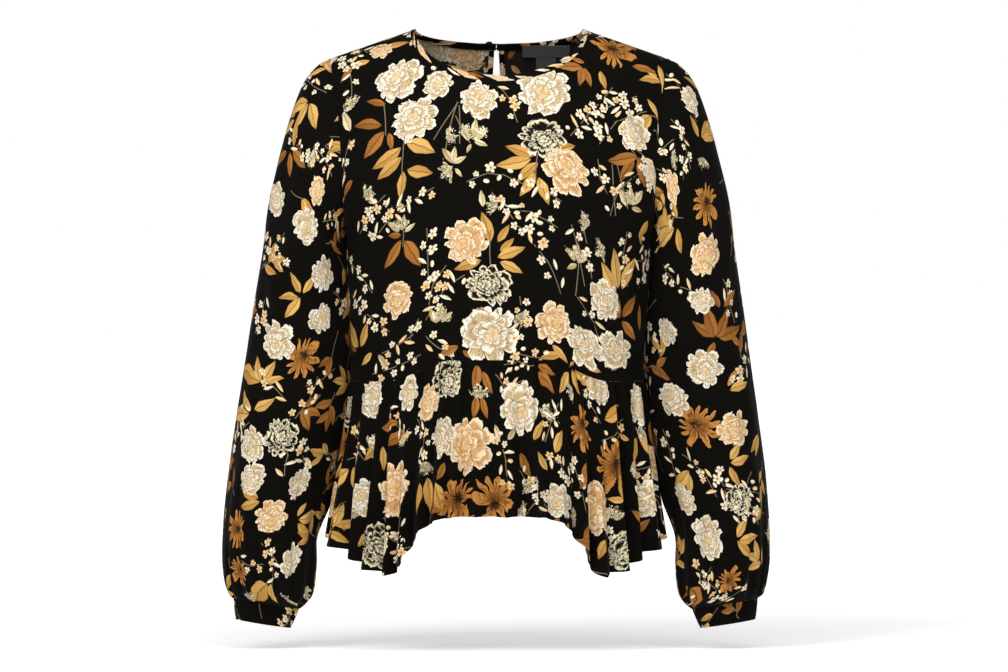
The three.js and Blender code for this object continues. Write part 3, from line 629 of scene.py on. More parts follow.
def peplum(side):
    total = sum(width for width, _ in PEPLUM_WAVES)
    angles, heights, shares, widths = [], [], [], []
    start = -90
    count = len(PEPLUM_WAVES)
    for i, (wide, high) in enumerate(PEPLUM_WAVES):
        width = wide * 180 / total
        before = PEPLUM_WAVES[max(0, i - 1)][1]
        after = PEPLUM_WAVES[min(count - 1, i + 1)][1]
        for step in range(WAVE_COLUMNS):
            share = step / WAVE_COLUMNS
            near = (before + high) / 2 if share < 0.5 else (after + high) / 2
            blend = 1 - abs(2 * share - 1)
            angles.append(start + width * share)
            heights.append(near + (high - near) * blend)
            shares.append(share + i)
            widths.append(math.radians(width) * PEPLUM_HALF)
        start += width
    angles.append(90)
    heights.append(PEPLUM_WAVES[-1][1])
    shares.append(count)
    widths.append(widths[-1])
    angle, high, share, wide = (np.array(part)[None, :] for part in (angles, heights, shares, widths))
    level = np.linspace(0, 1, PEPLUM_ROWS + 1)[:, None] ** LEVEL_CROWDING
    turn = np.radians(angle)
    across = np.sin(turn)
    seam_z = waist_seam(across, side) - WAIST_GAP
    seam_x = across * body_half(WAIST_AT_SIDE)
    seam = np.stack([seam_x, OUTWARD[side] * body_depth(seam_x, seam_z, side), seam_z], -1)
    uneven = 0.5 + 0.5 * gather_noise(angle * HEM_LIFT_PACE, 440)
    lift = HEM_LIFT * np.cos(2 * np.pi * share + HEM_LIFT_START) * uneven
    lift = lift * (HEM_LIFT_LEAST + (1 - HEM_LIFT_LEAST) * smooth(*HEM_LIFT_FULL, np.abs(across)))
    hem_z = hem_height(np.abs(angle)) + lift * (1 - np.abs(across) ** 8)
    hem = np.stack([PEPLUM_HALF * across, OUTWARD[side] * PEPLUM_DEPTH[side] * np.cos(turn), hem_z], -1)
    grid = seam + (hem - seam) * level[..., None]
    away = np.stack([across / PEPLUM_HALF, OUTWARD[side] * np.cos(turn) / PEPLUM_DEPTH[side], 0 * across], -1)
    away = away / np.linalg.norm(away, axis=-1, keepdims=True)
    along = np.stack([-away[..., 1], away[..., 0], away[..., 2]], -1) * -OUTWARD[side]
    noise = gather_noise(angle, 200 + OUTWARD[side])
    drift = gather_noise(angle * 1.3, 210 + OUTWARD[side]) * WAVE_DRIFT
    drift = drift * (1 - level) ** DRIFT_FALL * smooth(0, 0.1, level)
    drift = drift + gather_noise(angle * 2.2, 250 + OUTWARD[side]) * WAVE_WANDER * np.sin(np.pi * level)
    phase = 2 * np.pi * (share + drift)
    growth = GROWTH + GROWTH_UNEVEN * gather_noise(angle * 2.1, 220 + OUTWARD[side])
    height = PEPLUM_FLAT + (high - PEPLUM_FLAT) * level ** growth
    uneven = HEIGHT_UNEVEN * gather_noise(angle * 3.1, 230 + OUTWARD[side])
    height = height * (1 + uneven * np.sin(np.pi * level))
    swing = -np.cos(phase) * height * smooth(0, 0.04, level)
    reach = RIPPLE_REACH + RIPPLE_UNEVEN * gather_noise(angle * 2.3, 300 + OUTWARD[side])
    ripple = np.sin(2 * np.pi * share * 3 + 1.9 * noise) + 0.5 * np.sin(2 * np.pi * share * 5 + 2.7 * noise)
    ripple = RIPPLE_HEIGHT * ripple * smooth(0, 0.03, level) * np.exp(-(level / reach) ** 2)
    roll = gather_noise(angle * 1.7, 400 + OUTWARD[side]) * ROLL * smooth(0.3, 1, level)
    overhang = -PEPLUM_OVERHANG * wide * np.sin(2 * phase) * level * np.minimum(1, high / DEEP_WAVE)
    out = swing + ripple + roll * (1 - np.abs(across) ** 8)
    grid = grid + away * out[..., None] + along * overhang[..., None]
    grid[..., 1] = off_middle(grid[..., 1], side)
    length = arc(grid, 1)
    printed = length[round(PRINT_LEVEL * PEPLUM_ROWS)]
    flat_across = np.broadcast_to(printed - printed[len(printed) // 2], length.shape)
    drop = arc(grid, 0)
    return sway(grid), flat_across, -drop


# Closed thin walls from a grid of points, with the reverse of the cloth as the second material
LAYERS = ("flower_a", "flower_b", "leaf_a", "leaf_b", "leaf_c", "small_a", "small_b", "small_c")
NO_MOTIF = (9, 9, -1)


def add_mesh(name, points, faces, material, sharp_from):
    mesh = bpy.data.meshes.new(name)
    mesh.vertices.add(len(points))
    mesh.vertices.foreach_set("co", (points * MM).ravel())
    mesh.loops.add(faces.size)
    mesh.loops.foreach_set("vertex_index", faces.ravel().astype(np.int32))
    mesh.polygons.add(len(faces))
    mesh.polygons.foreach_set("loop_start", np.arange(len(faces), dtype=np.int32) * 4)
    mesh.polygons.foreach_set("material_index", material)
    mesh.update(calc_edges=True)
    mesh.polygons.foreach_set("use_smooth", np.ones(len(faces), bool))
    edges = np.empty(len(mesh.loops), np.int32)
    mesh.loops.foreach_get("edge_index", edges)
    sharp = np.zeros(len(mesh.edges), bool)
    sharp[edges[sharp_from * 4:]] = True
    mesh.attributes.new("sharp_edge", "BOOLEAN", "EDGE").data.foreach_set("value", sharp)
    piece = bpy.data.objects.new(name, mesh)
    bpy.context.scene.collection.objects.link(piece)
    return piece


def print_layers(piece, motifs, plain_faces, flipped, both_sides=False):
    for layer in LAYERS:
        front = motifs.layers[layer]
        parts = [front, front[:, ::-1]] if both_sides else [front]
        parts.append(np.tile(np.array(NO_MOTIF, np.float32), (plain_faces, 4, 1)))
        values = np.concatenate(parts)
        if flipped:
            values = values[:, ::-1]
        attribute = piece.data.attributes.new(layer, "FLOAT_VECTOR", "CORNER")
        attribute.data.foreach_set("vector", np.ascontiguousarray(values, np.float32).ravel())


def kept_quads(shape, closed, kept):
    rows, columns = shape
    across = columns if closed else columns - 1
    if kept is None:
        kept = np.ones((rows - 1, across), bool)
    i, j = np.nonzero(kept)
    next_j = (j + 1) % columns
    a, b = i * columns + j, i * columns + next_j
    return kept, i, j, np.stack([a, b, b + columns, a + columns], 1)


def wall(name, grid, facing, closed=False, kept=None, thickness=CLOTH, motifs=None):
    rows, columns = grid.shape[:2]
    inner = grid - grid_normals(grid, closed) * facing * thickness
    points = np.concatenate([grid.reshape(-1, 3), inner.reshape(-1, 3)])
    kept, i, j, outer = kept_quads((rows, columns), closed, kept)
    reverse = rows * columns
    back = outer[:, ::-1] + reverse
    padded = np.pad(kept, 1)
    if closed:
        padded[1:-1, 0], padded[1:-1, -1] = kept[:, -1], kept[:, 0]
    sides = (
        (padded[:-2, 1:-1], 0, 1),
        (padded[1:-1, 2:], 1, 2),
        (padded[2:, 1:-1], 2, 3),
        (padded[1:-1, :-2], 3, 0),
    )
    rims = []
    for neighbour, start, end in sides:
        open_edge = ~neighbour[i, j]
        first, second = outer[open_edge, start], outer[open_edge, end]
        rims.append(np.stack([second, first, first + reverse, second + reverse], 1))
    rim = np.concatenate(rims)
    faces = np.concatenate([outer, back, rim])
    material = np.zeros(len(faces), np.int32)
    material[len(outer):len(outer) + len(back)] = 1
    if facing < 0:
        faces = faces[:, ::-1]
    used, faces = np.unique(faces, return_inverse=True)
    piece = add_mesh(name, points[used], faces.reshape(-1, 4), material, len(outer) + len(back))
    if motifs:
        print_layers(piece, motifs, len(rim), facing < 0, both_sides=True)
    return piece


def sweep(name, rings, motifs=None):
    rings = np.asarray(rings, float)
    count, around = rings.shape[:2]
    middles = rings[[0, -1]].mean(1)
    points = np.concatenate([rings.reshape(-1, 3), middles])
    i, j = np.meshgrid(np.arange(count - 1), np.arange(around), indexing="ij")
    next_j = (j + 1) % around
    a, b = i * around + j, i * around + next_j
    side = np.stack([a, b, b + around, a + around], -1).reshape(-1, 4)
    pairs = np.arange(0, around, 2)
    last = (count - 1) * around
    second, third = (pairs + 1) % around, (pairs + 2) % around
    cap = np.full_like(pairs, count * around)
    start = np.stack([third, second, pairs, cap], 1)
    end = np.stack([pairs + last, second + last, third + last, cap + 1], 1)
    faces = np.concatenate([side, start, end])
    corners = points[faces]
    volume = np.einsum("ij,ij->", corners[:, 0], np.cross(corners[:, 1], corners[:, 2]))
    flipped = volume < 0
    if flipped:
        faces = faces[:, ::-1]
    piece = add_mesh(name, points, faces, np.zeros(len(faces), np.int32), len(side))
    if motifs:
        print_layers(piece, motifs, len(faces) - len(side), flipped)
    return piece


# The printed repeat, with motifs charted by place, size and lean
# Each face of a panel belongs to one motif in a layer
PIXEL = 1.14
PHOTO_WIDTH, PHOTO_HEIGHT = 1008, 672
ORIGIN_PX, ORIGIN_PY = 499, 29
CAMERA_DISTANCE = 7000
CAMERA_X = (PHOTO_WIDTH / 2 - ORIGIN_PX) * PIXEL
CAMERA_Z = -(PHOTO_HEIGHT / 2 - ORIGIN_PY) * PIXEL
FAMILY = {"flower": LAYERS[0:2], "leaf": LAYERS[2:5], "small": LAYERS[5:8]}
IVORY, PEACH, ZINNIA, CINNAMON, SKETCH = 1, 2, 3, 4, 5
GOLD, BROWN, PALE = 1, 2, 3
BLOSSOM, BUD, STEM, LEAFLET = 1, 2, 3, 4


LEAF_SHARE = 0.205
UNUSED = 1e6
FOLDED_FACE = 20


class Motifs:
    def __init__(self, across, up, grid=None, closed=False, kept=None, seed=1):
        shape = across.shape
        _, i, j, quads = kept_quads(shape, closed, kept)
        self.across = across.ravel()[quads]
        self.up = up.ravel()[quads]
        self.middle_across = self.across.mean(1)
        self.middle_up = self.up.mean(1)
        folded = np.ptp(self.across, axis=1) > FOLDED_FACE
        self.middle_across[folded] = UNUSED
        self.layers = {layer: np.tile(np.array(NO_MOTIF, np.float32), (len(quads), 4, 1)) for layer in LAYERS}
        self.taken = {layer: np.zeros(len(quads), bool) for layer in LAYERS}
        self.random = random.Random(seed)
        self.circles = []
        if grid is not None:
            middle = grid.reshape(-1, 3)[quads].mean(1)
            scale = CAMERA_DISTANCE / (CAMERA_DISTANCE + middle[:, 1])
            self.seen_x = CAMERA_X + (middle[:, 0] - CAMERA_X) * scale
            self.seen_z = CAMERA_Z + (middle[:, 2] - CAMERA_Z) * scale
            self.hidden = middle[:, 1] > 0

    def locate(self, px, py):
        x = (px - ORIGIN_PX) * PIXEL
        z = -(py - ORIGIN_PY) * PIXEL
        far = (self.seen_x - x) ** 2 + (self.seen_z - z) ** 2 + (self.hidden != self.inside) * 1e6
        nearest = np.argmin(far)
        return self.middle_across[nearest], self.middle_up[nearest]

    def lay(self, family, kind, across, up, angle, half, wide):
        turn = math.radians(angle)
        reach = max(half, wide) + 5
        near = (np.abs(self.middle_across - across) < reach) & (np.abs(self.middle_up - up) < reach)
        near = np.nonzero(near)[0]
        right = self.across[near] - across
        rise = self.up[near] - up
        along = (right * math.cos(turn) + rise * math.sin(turn)) / half
        aside = (rise * math.cos(turn) - right * math.sin(turn)) / wide
        if family == "flower":
            inside = np.hypot(along, aside).min(1) < 1.05 + 0.8 / half
        else:
            inside = (np.abs(along).min(1) < 1.03 + 0.6 / half) & (np.abs(aside).min(1) < 1.03 + 0.6 / wide)
        near, along, aside = near[inside], along[inside], aside[inside]
        if not len(near):
            return
        layer = min(FAMILY[family], key=lambda name: self.taken[name][near].sum())
        free = ~self.taken[layer][near]
        near, along, aside = near[free], along[free], aside[free]
        code = kind + self.random.uniform(0.05, 0.95)
        self.layers[layer][near] = np.stack([along, aside, np.full_like(along, code)], -1)
        self.taken[layer][near] = True

    def flower(self, kind, across, up, radius):
        squash = self.random.uniform(0.86, 1)
        self.lay("flower", kind, across, up, self.random.uniform(0, 360), radius, radius * squash)
        self.circles.append((across, up, radius))

    def leaf(self, kind, base, tip, wide):
        run, rise = tip[0] - base[0], tip[1] - base[1]
        half = math.hypot(run, rise) / 2
        middle = ((base[0] + tip[0]) / 2, (base[1] + tip[1]) / 2)
        self.lay("leaf", kind, *middle, math.degrees(math.atan2(rise, run)), half, min(wide, half * 0.55))

    def stem(self, start, end, wide=2.6):
        run, rise = end[0] - start[0], end[1] - start[1]
        half = math.hypot(run, rise) / 2
        if half > 1:
            middle = ((start[0] + end[0]) / 2, (start[1] + end[1]) / 2)
            self.lay("small", STEM, *middle, math.degrees(math.atan2(rise, run)), half, wide)

    def twig(self, points, size=5.6, crowd=1.0):
        pick = self.random
        for start, end in zip(points, points[1:]):
            run, rise = end[0] - start[0], end[1] - start[1]
            length = math.hypot(run, rise)
            side = 1
            steps = max(1, round(length * crowd / (size * 1.5)))
            for step in range(steps):
                share = (step + pick.uniform(0.2, 0.8)) / steps
                out = side * pick.uniform(0.5, 1.35) * size
                place_across = start[0] + run * share - rise / length * out
                place_up = start[1] + rise * share + run / length * out
                place = (place_across, place_up)
                pull = pick.random()
                angle = pick.uniform(0, 360)
                if pull < 0.52:
                    radius = size * pick.uniform(0.7, 1.4)
                    self.lay("small", BLOSSOM, *place, angle, radius, radius * pick.uniform(0.8, 1))
                elif pull < 0.68:
                    self.lay("small", BUD, *place, angle, size * pick.uniform(0.5, 0.8), size * 0.45)
                else:
                    self.lay("small", LEAFLET, *place, angle, size * pick.uniform(0.9, 1.5), size * 0.42)
                side = -side
            self.stem(start, end)

    def spray(self, base, angle, length, count, kind, leaf=26, wide=5.4, bend=0.0):
        step = length / count
        here = base
        turn = math.radians(angle)
        for n in range(count):
            there = (here[0] + step * math.cos(turn), here[1] + step * math.sin(turn))
            self.stem(here, there)
            lean = turn + (0.75 if n % 2 else -0.75)
            size = leaf * self.random.uniform(0.8, 1.1)
            tip = (there[0] + size * math.cos(lean), there[1] + size * math.sin(lean))
            self.leaf(kind, there, tip, wide * size / leaf)
            here = there
            turn += math.radians(bend)
        tip = (here[0] + leaf * math.cos(turn), here[1] + leaf * math.sin(turn))
        self.leaf(kind, here, tip, wide)

    def room(self, across, up, radius, ease=0.86):
        return all(math.hypot(across - a, up - b) > (radius + r) * ease for a, b, r in self.circles)

    def chart(self, flowers=(), leaves=(), twigs=(), stems=(), sketches=(), inside=False):
        self.inside = inside
        for px, py, angle, radius in sketches:
            across, up = self.locate(px, py)
            self.lay("flower", SKETCH, across, up, angle, radius * PIXEL, radius * PIXEL)
            self.circles.append((across, up, radius))
        for px, py, radius, kind in flowers:
            self.flower(kind, *self.locate(px, py), radius * PIXEL)
        for x0, y0, x1, y1, kind in leaves:
            base, tip = self.locate(x0, y0), self.locate(x1, y1)
            self.leaf(kind, base, tip, LEAF_SHARE * math.hypot(tip[0] - base[0], tip[1] - base[1]))
            self.circles.append(((base[0] + tip[0]) / 2, (base[1] + tip[1]) / 2, 8))
        for line, crowd in twigs:
            points = [self.locate(px, py) for px, py in line]
            self.twig(points, crowd=crowd)
            self.circles += [(*point, 9) for point in points]
        for x0, y0, x1, y1 in stems:
            self.stem(self.locate(x0, y0), self.locate(x1, y1), 3)

    def spot(self):
        used = self.middle_across < UNUSED / 10
        across, up = self.middle_across[used], self.middle_up[used]
        return self.random.uniform(across.min(), across.max()), self.random.uniform(up.min(), up.max())

    def dot_along(self, count):
        pick = self.random
        for _ in range(count):
            across, up = self.spot()
            angle = pick.uniform(-40, 40)
            turn = math.radians(angle)
            pull = pick.random()
            if pull < 0.3:
                tip = (across + 16 * math.cos(turn), up + 16 * math.sin(turn))
                self.leaf(pick.choice([GOLD, BROWN]), (across, up), tip, 4)
            elif pull < 0.6:
                self.flower(pick.choice([IVORY, PEACH]), across, up, pick.uniform(6, 11))
            else:
                self.lay("small", pick.choice([BLOSSOM, BUD, LEAFLET]), across, up, angle, 4.6, 4)

    def fill(self, tries=260, only=None, flowers=True):
        pick = self.random
        kinds = [IVORY] * 4 + [PEACH] * 3 + [ZINNIA] + [CINNAMON] * 2
        for _ in range(tries if flowers else 0):
            across, up = self.spot()
            radius = pick.uniform(20, 31)
            if (only is None or only(across, up)) and self.room(across, up, radius, 1.16):
                self.flower(pick.choice(kinds), across, up, radius)
        for _ in range(tries * 2):
            across, up = self.spot()
            if (only is None or only(across, up)) and self.room(across, up, 17, 0.95):
                kind = pick.choice([GOLD, GOLD, BROWN])
                angle, length, count = pick.uniform(0, 360), pick.uniform(14, 30), pick.randint(1, 3)
                self.spray((across, up), angle, length, count, kind, bend=pick.uniform(-24, 24))
                self.circles.append((across, up, 15))
        for _ in range(tries):
            across, up = self.spot()
            if (only is None or only(across, up)) and self.room(across, up, 14, 0.95):
                self.lay("flower", SKETCH, across, up, pick.uniform(0, 360), 15, 15)
                self.circles.append((across, up, 12))
        for _ in range(tries * 3):
            across, up = self.spot()
            if (only is None or only(across, up)) and self.room(across, up, 13, 0.95):
                turn = pick.uniform(0, 6.28)
                length = pick.uniform(14, 34)
                bend = turn + pick.uniform(-0.6, 0.6)
                middle = (across + length * math.cos(turn), up + length * math.sin(turn))
                end = (middle[0] + length * math.cos(bend), middle[1] + length * math.sin(bend))
                self.twig([(across, up), middle, end])
                self.circles.append((across, up, 11))


FRONT_FLOWERS = [
    (438, 83, 17, IVORY), (399, 79, 26, IVORY), (414, 120, 26, IVORY), (478, 99, 22, IVORY),
    (546, 91, 30, IVORY), (635, 134, 19, IVORY), (585, 345, 22, IVORY), (487, 333, 30, IVORY),
    (615, 353, 23, IVORY), (567, 169, 25, PEACH), (465, 243, 25, PEACH), (397, 298, 20, PEACH),
    (555, 324, 22, PEACH), (606, 302, 21, IVORY), (542, 135, 24, ZINNIA), (489, 286, 24, ZINNIA),
    (612, 50, 25, CINNAMON), (380, 50, 13, PEACH), (652, 172, 15, IVORY), (345, 300, 13, IVORY),
]
FRONT_LEAVES = [
    (386, 104, 366, 100, BROWN), (382, 126, 354, 126, BROWN), (384, 132, 363, 158, BROWN),
    (388, 132, 391, 150, BROWN), (401, 148, 372, 168, GOLD), (401, 158, 377, 180, GOLD),
    (406, 142, 436, 154, GOLD), (407, 169, 434, 174, GOLD), (403, 171, 400, 200, GOLD),
    (534, 155, 506, 145, GOLD), (532, 158, 495, 165, GOLD), (537, 162, 517, 182, GOLD),
    (535, 172, 519, 196, GOLD), (539, 178, 549, 206, GOLD), (546, 155, 576, 145, GOLD),
    (545, 160, 560, 170, GOLD), (637, 157, 607, 162, BROWN), (639, 158, 646, 188, BROWN),
    (634, 158, 620, 182, BROWN), (583, 66, 556, 68, BROWN), (584, 68, 592, 88, BROWN),
    (585, 62, 566, 53, BROWN), (583, 67, 578, 86, BROWN), (632, 66, 656, 74, BROWN),
    (600, 70, 606, 90, GOLD), (384, 46, 410, 42, GOLD), (370, 60, 348, 66, GOLD),
    (352, 66, 340, 84, BROWN), (491, 243, 482, 211, GOLD), (497, 241, 509, 225, GOLD),
    (498, 258, 526, 248, GOLD), (499, 262, 524, 274, GOLD), (481, 260, 453, 271, GOLD),
    (500, 251, 514, 238, GOLD), (616, 292, 602, 262, GOLD), (618, 288, 614, 248, GOLD),
    (622, 290, 636, 258, GOLD), (618, 284, 596, 284, GOLD), (402, 240, 384, 269, BROWN),
    (404, 240, 421, 267, BROWN), (402, 236, 388, 236, BROWN), (358, 348, 348, 320, GOLD),
    (361, 347, 368, 322, GOLD), (356, 352, 346, 340, BROWN), (620, 318, 614, 290, BROWN),
    (622, 316, 636, 295, BROWN), (622, 321, 636, 340, BROWN), (640, 330, 640, 304, BROWN),
    (458, 346, 438, 357, BROWN), (462, 350, 474, 370, BROWN), (552, 345, 568, 364, GOLD),
    (583, 361, 602, 372, GOLD), (560, 356, 540, 366, GOLD), (574, 362, 566, 376, GOLD),
    (452, 164, 442, 149, PALE), (452, 162, 455, 146, PALE), (454, 164, 466, 155, PALE),
    (452, 166, 443, 174, PALE), (455, 167, 462, 176, PALE), (470, 140, 463, 123, PALE),
    (474, 138, 476, 119, PALE), (476, 140, 487, 127, PALE), (474, 142, 487, 145, PALE),
    (472, 143, 466, 152, PALE), (400, 232, 387, 222, PALE), (402, 230, 404, 214, PALE),
    (404, 232, 416, 223, PALE), (628, 206, 619, 189, PALE), (630, 205, 630, 185, PALE),
    (632, 206, 643, 191, PALE), (631, 208, 642, 212, PALE), (574, 262, 565, 247, PALE),
    (576, 260, 578, 242, PALE), (578, 262, 589, 250, PALE), (576, 264, 566, 270, PALE),
    (438, 322, 428, 308, PALE), (440, 320, 442, 304, PALE), (442, 322, 452, 312, PALE),
    (372, 352, 362, 366, GOLD), (378, 354, 388, 368, PALE), (484, 208, 480, 190, PALE),
    (350, 130, 342, 112, PALE), (352, 180, 344, 204, BROWN), (648, 220, 640, 246, GOLD),
]
FRONT_SKETCHES = [
    (471, 140, 80, 17), (452, 168, 200, 14), (400, 232, 70, 14), (630, 204, 100, 15), (576, 262, 90, 15),
    (440, 322, 60, 14), (352, 108, 120, 14), (648, 300, 60, 13), (524, 312, 260, 14), (364, 200, 30, 13),
    (498, 210, 150, 13), (606, 250, 200, 13),
]
PEPLUM_SKETCHES = [
    (480, 400, 80, 15), (404, 446, 110, 15), (544, 420, 60, 15), (428, 462, 250, 14), (612, 520, 80, 14),
    (352, 520, 100, 14), (640, 440, 40, 14), (534, 490, 120, 14), (370, 450, 60, 14), (574, 392, 200, 13),
]
FRONT_TWIGS = [
    ([(572, 134), (588, 114), (612, 88)], 1.3), ([(588, 124), (606, 108), (634, 98)], 1.3),
    ([(600, 142), (616, 122), (644, 112)], 1.0), ([(560, 200), (538, 190), (506, 176)], 1.3),
    ([(556, 226), (530, 212), (498, 206)], 1.3), ([(546, 240), (520, 226), (494, 194)], 1.2),
    ([(506, 176), (488, 172), (470, 180)], 1.1), ([(374, 240), (388, 220), (410, 202)], 1.2),
    ([(360, 232), (370, 214), (384, 196)], 1.1), ([(462, 276), (444, 292), (426, 318)], 1.3),
    ([(446, 266), (434, 286), (428, 306)], 1.1), ([(388, 330), (368, 316), (352, 296)], 1.2),
    ([(418, 320), (410, 336), (384, 352)], 1.1), ([(610, 214), (620, 190), (644, 170)], 1.0),
    ([(594, 270), (582, 250), (572, 228)], 0.9), ([(352, 96), (350, 74), (362, 50)], 1.0),
    ([(500, 88), (512, 104), (516, 122)], 1.0), ([(640, 240), (646, 262), (640, 286)], 1.0),
    ([(520, 300), (524, 318), (516, 344)], 1.1), ([(428, 338), (440, 348), (452, 362)], 1.2),
    ([(508, 352), (530, 356), (548, 362)], 1.2), ([(350, 262), (362, 276), (372, 292)], 1.0),
    ([(636, 150), (646, 160), (654, 190)], 1.1), ([(534, 246), (548, 262), (560, 290)], 0.8),
]
FRONT_STEMS = [
    (456, 104, 434, 137), (457, 105, 446, 146), (458, 106, 459, 143), (574, 232, 584, 282),
    (580, 236, 577, 292), (584, 230, 592, 276), (616, 160, 628, 206), (612, 166, 616, 214),
    (538, 150, 536, 182), (491, 230, 490, 264), (405, 136, 402, 176), (384, 104, 386, 134),
    (634, 152, 638, 162), (402, 222, 403, 246), (470, 140, 452, 108),
]
BACK_FLOWERS = [(434, 50, 21, IVORY), (465, 52, 20, PEACH), (486, 44, 12, IVORY), (418, 38, 10, PEACH)]
BACK_LEAVES = [
    (466, 70, 486, 62, GOLD), (464, 72, 446, 66, GOLD), (470, 72, 488, 76, BROWN),
    (508, 60, 516, 46, BROWN), (512, 66, 522, 74, GOLD), (588, 50, 570, 62, BROWN),
    (586, 46, 574, 40, BROWN),
]
BACK_TWIGS = [([(446, 66), (470, 62), (490, 68)], 1.0)]
PEPLUM_FLOWERS = [
    (448, 378, 24, ZINNIA), (467, 446, 30, PEACH), (440, 436, 22, IVORY), (522, 408, 28, IVORY),
    (372, 398, 24, IVORY), (409, 392, 20, IVORY), (428, 404, 20, PEACH), (396, 490, 30, PEACH),
    (363, 497, 22, IVORY), (593, 510, 28, PEACH), (456, 500, 27, CINNAMON), (494, 500, 26, CINNAMON),
    (582, 426, 26, CINNAMON), (614, 466, 28, CINNAMON), (600, 388, 20, IVORY), (637, 406, 24, IVORY),
    (346, 446, 21, CINNAMON), (560, 500, 18, IVORY), (640, 500, 22, IVORY), (382, 546, 24, ZINNIA),
    (628, 548, 21, ZINNIA), (350, 410, 17, ZINNIA), (660, 460, 19, PEACH), (334, 500, 18, PEACH),
]
PEPLUM_LEAVES = [
    (477, 366, 474, 392, BROWN), (482, 372, 492, 394, BROWN), (476, 396, 472, 420, BROWN),
    (482, 398, 488, 420, BROWN), (538, 366, 556, 376, BROWN), (538, 372, 554, 394, BROWN),
    (420, 482, 416, 514, GOLD), (428, 478, 430, 514, GOLD), (436, 482, 442, 512, GOLD),
    (350, 470, 340, 496, GOLD), (354, 466, 352, 500, GOLD), (346, 460, 330, 478, GOLD),
    (568, 372, 560, 394, GOLD), (572, 370, 580, 394, GOLD), (576, 368, 596, 384, GOLD),
    (636, 436, 634, 474, GOLD), (640, 438, 652, 466, GOLD), (630, 440, 618, 432, GOLD),
    (556, 452, 562, 430, GOLD), (548, 470, 538, 450, GOLD), (500, 440, 494, 424, PALE),
    (508, 440, 516, 428, PALE), (404, 430, 388, 446, BROWN), (398, 422, 382, 428, BROWN),
    (604, 420, 618, 404, GOLD), (444, 462, 436, 480, BROWN), (520, 452, 530, 478, BROWN),
    (534, 440, 544, 420, GOLD), (376, 440, 364, 462, GOLD), (382, 446, 384, 470, GOLD),
    (606, 540, 600, 560, GOLD), (370, 530, 356, 548, GOLD), (660, 420, 668, 446, BROWN),
    (336, 420, 330, 448, BROWN), (586, 462, 580, 490, BROWN), (650, 520, 662, 536, GOLD),
]
PEPLUM_TWIGS = [
    ([(498, 432), (506, 458), (508, 488)], 1.3), ([(546, 460), (560, 462), (572, 486)], 1.4),
    ([(604, 524), (618, 536), (626, 556)], 1.2), ([(418, 420), (424, 440), (420, 466)], 1.2),
    ([(496, 376), (504, 388), (524, 380)], 1.1), ([(560, 400), (552, 418), (546, 440)], 1.2),
    ([(386, 520), (394, 540), (398, 562)], 1.2), ([(360, 420), (356, 436), (362, 456)], 1.1),
    ([(520, 470), (532, 486), (548, 508)], 1.1), ([(650, 470), (644, 484), (652, 504)], 1.2),
    ([(390, 408), (396, 424), (408, 440)], 1.2), ([(620, 420), (616, 434), (602, 442)], 1.1),
]
SLEEVE_FLOWERS = {
    -1: [
        (275, 200, 18, IVORY), (307, 227, 20, IVORY), (322, 274, 19, IVORY), (276, 343, 21, IVORY),
        (251, 446, 19, IVORY), (251, 481, 17, IVORY), (271, 518, 20, PEACH), (291, 562, 17, IVORY),
        (302, 359, 21, CINNAMON), (237, 530, 20, CINNAMON), (279, 438, 20, ZINNIA), (318, 188, 17, PEACH),
        (322, 320, 15, IVORY), (240, 570, 17, CINNAMON), (300, 480, 15, IVORY),
    ],
    1: [
        (672, 187, 19, PEACH), (707, 255, 22, PEACH), (703, 371, 20, IVORY), (672, 398, 20, IVORY),
        (735, 432, 20, PEACH), (708, 540, 24, IVORY), (705, 203, 23, CINNAMON), (697, 424, 24, CINNAMON),
        (690, 100, 15, IVORY), (740, 500, 17, ZINNIA), (668, 330, 16, IVORY), (700, 300, 14, IVORY),
        (728, 580, 17, CINNAMON), (685, 500, 16, IVORY),
    ],
}
SLEEVE_LEAVES = {
    -1: [
        (307, 101, 282, 110, GOLD), (308, 103, 293, 129, GOLD), (311, 103, 315, 130, GOLD),
        (295, 116, 279, 107, GOLD), (295, 120, 275, 131, GOLD), (297, 121, 293, 148, GOLD),
        (300, 293, 289, 273, GOLD), (299, 296, 278, 296, GOLD), (304, 293, 314, 275, GOLD),
        (300, 298, 285, 316, GOLD), (261, 381, 257, 354, GOLD), (264, 381, 276, 360, GOLD),
        (260, 382, 242, 367, GOLD), (265, 383, 285, 376, GOLD), (251, 409, 244, 391, GOLD),
        (249, 413, 230, 416, GOLD), (255, 410, 275, 399, GOLD), (288, 152, 273, 170, BROWN),
        (290, 153, 290, 178, BROWN), (292, 152, 305, 168, BROWN), (303, 404, 321, 394, BROWN),
        (303, 408, 321, 418, BROWN), (301, 409, 309, 430, BROWN), (259, 501, 241, 508, GOLD),
        (259, 498, 241, 488, GOLD), (298, 517, 307, 501, GOLD), (299, 519, 317, 512, GOLD),
        (298, 523, 308, 541, GOLD), (268, 583, 258, 601, GOLD), (271, 583, 278, 603, GOLD),
    ],
    1: [
        (715, 337, 704, 306, BROWN), (717, 337, 728, 308, BROWN), (714, 338, 691, 319, BROWN),
        (719, 338, 740, 326, BROWN), (715, 343, 707, 364, BROWN), (720, 309, 710, 291, BROWN),
        (724, 309, 735, 289, BROWN), (674, 228, 659, 246, GOLD), (677, 229, 681, 254, GOLD),
        (673, 226, 654, 226, GOLD), (702, 137, 713, 117, GOLD), (699, 137, 690, 114, GOLD),
        (703, 139, 724, 131, GOLD), (688, 472, 675, 488, GOLD), (690, 473, 690, 496, GOLD),
        (730, 461, 740, 443, GOLD), (730, 467, 741, 487, GOLD), (731, 463, 749, 456, GOLD),
        (738, 537, 748, 519, GOLD), (739, 539, 758, 536, GOLD), (738, 542, 751, 558, GOLD),
        (688, 587, 675, 603, BROWN), (691, 588, 694, 609, BROWN), (729, 389, 747, 382, GOLD),
        (728, 387, 738, 369, GOLD),
    ],
}
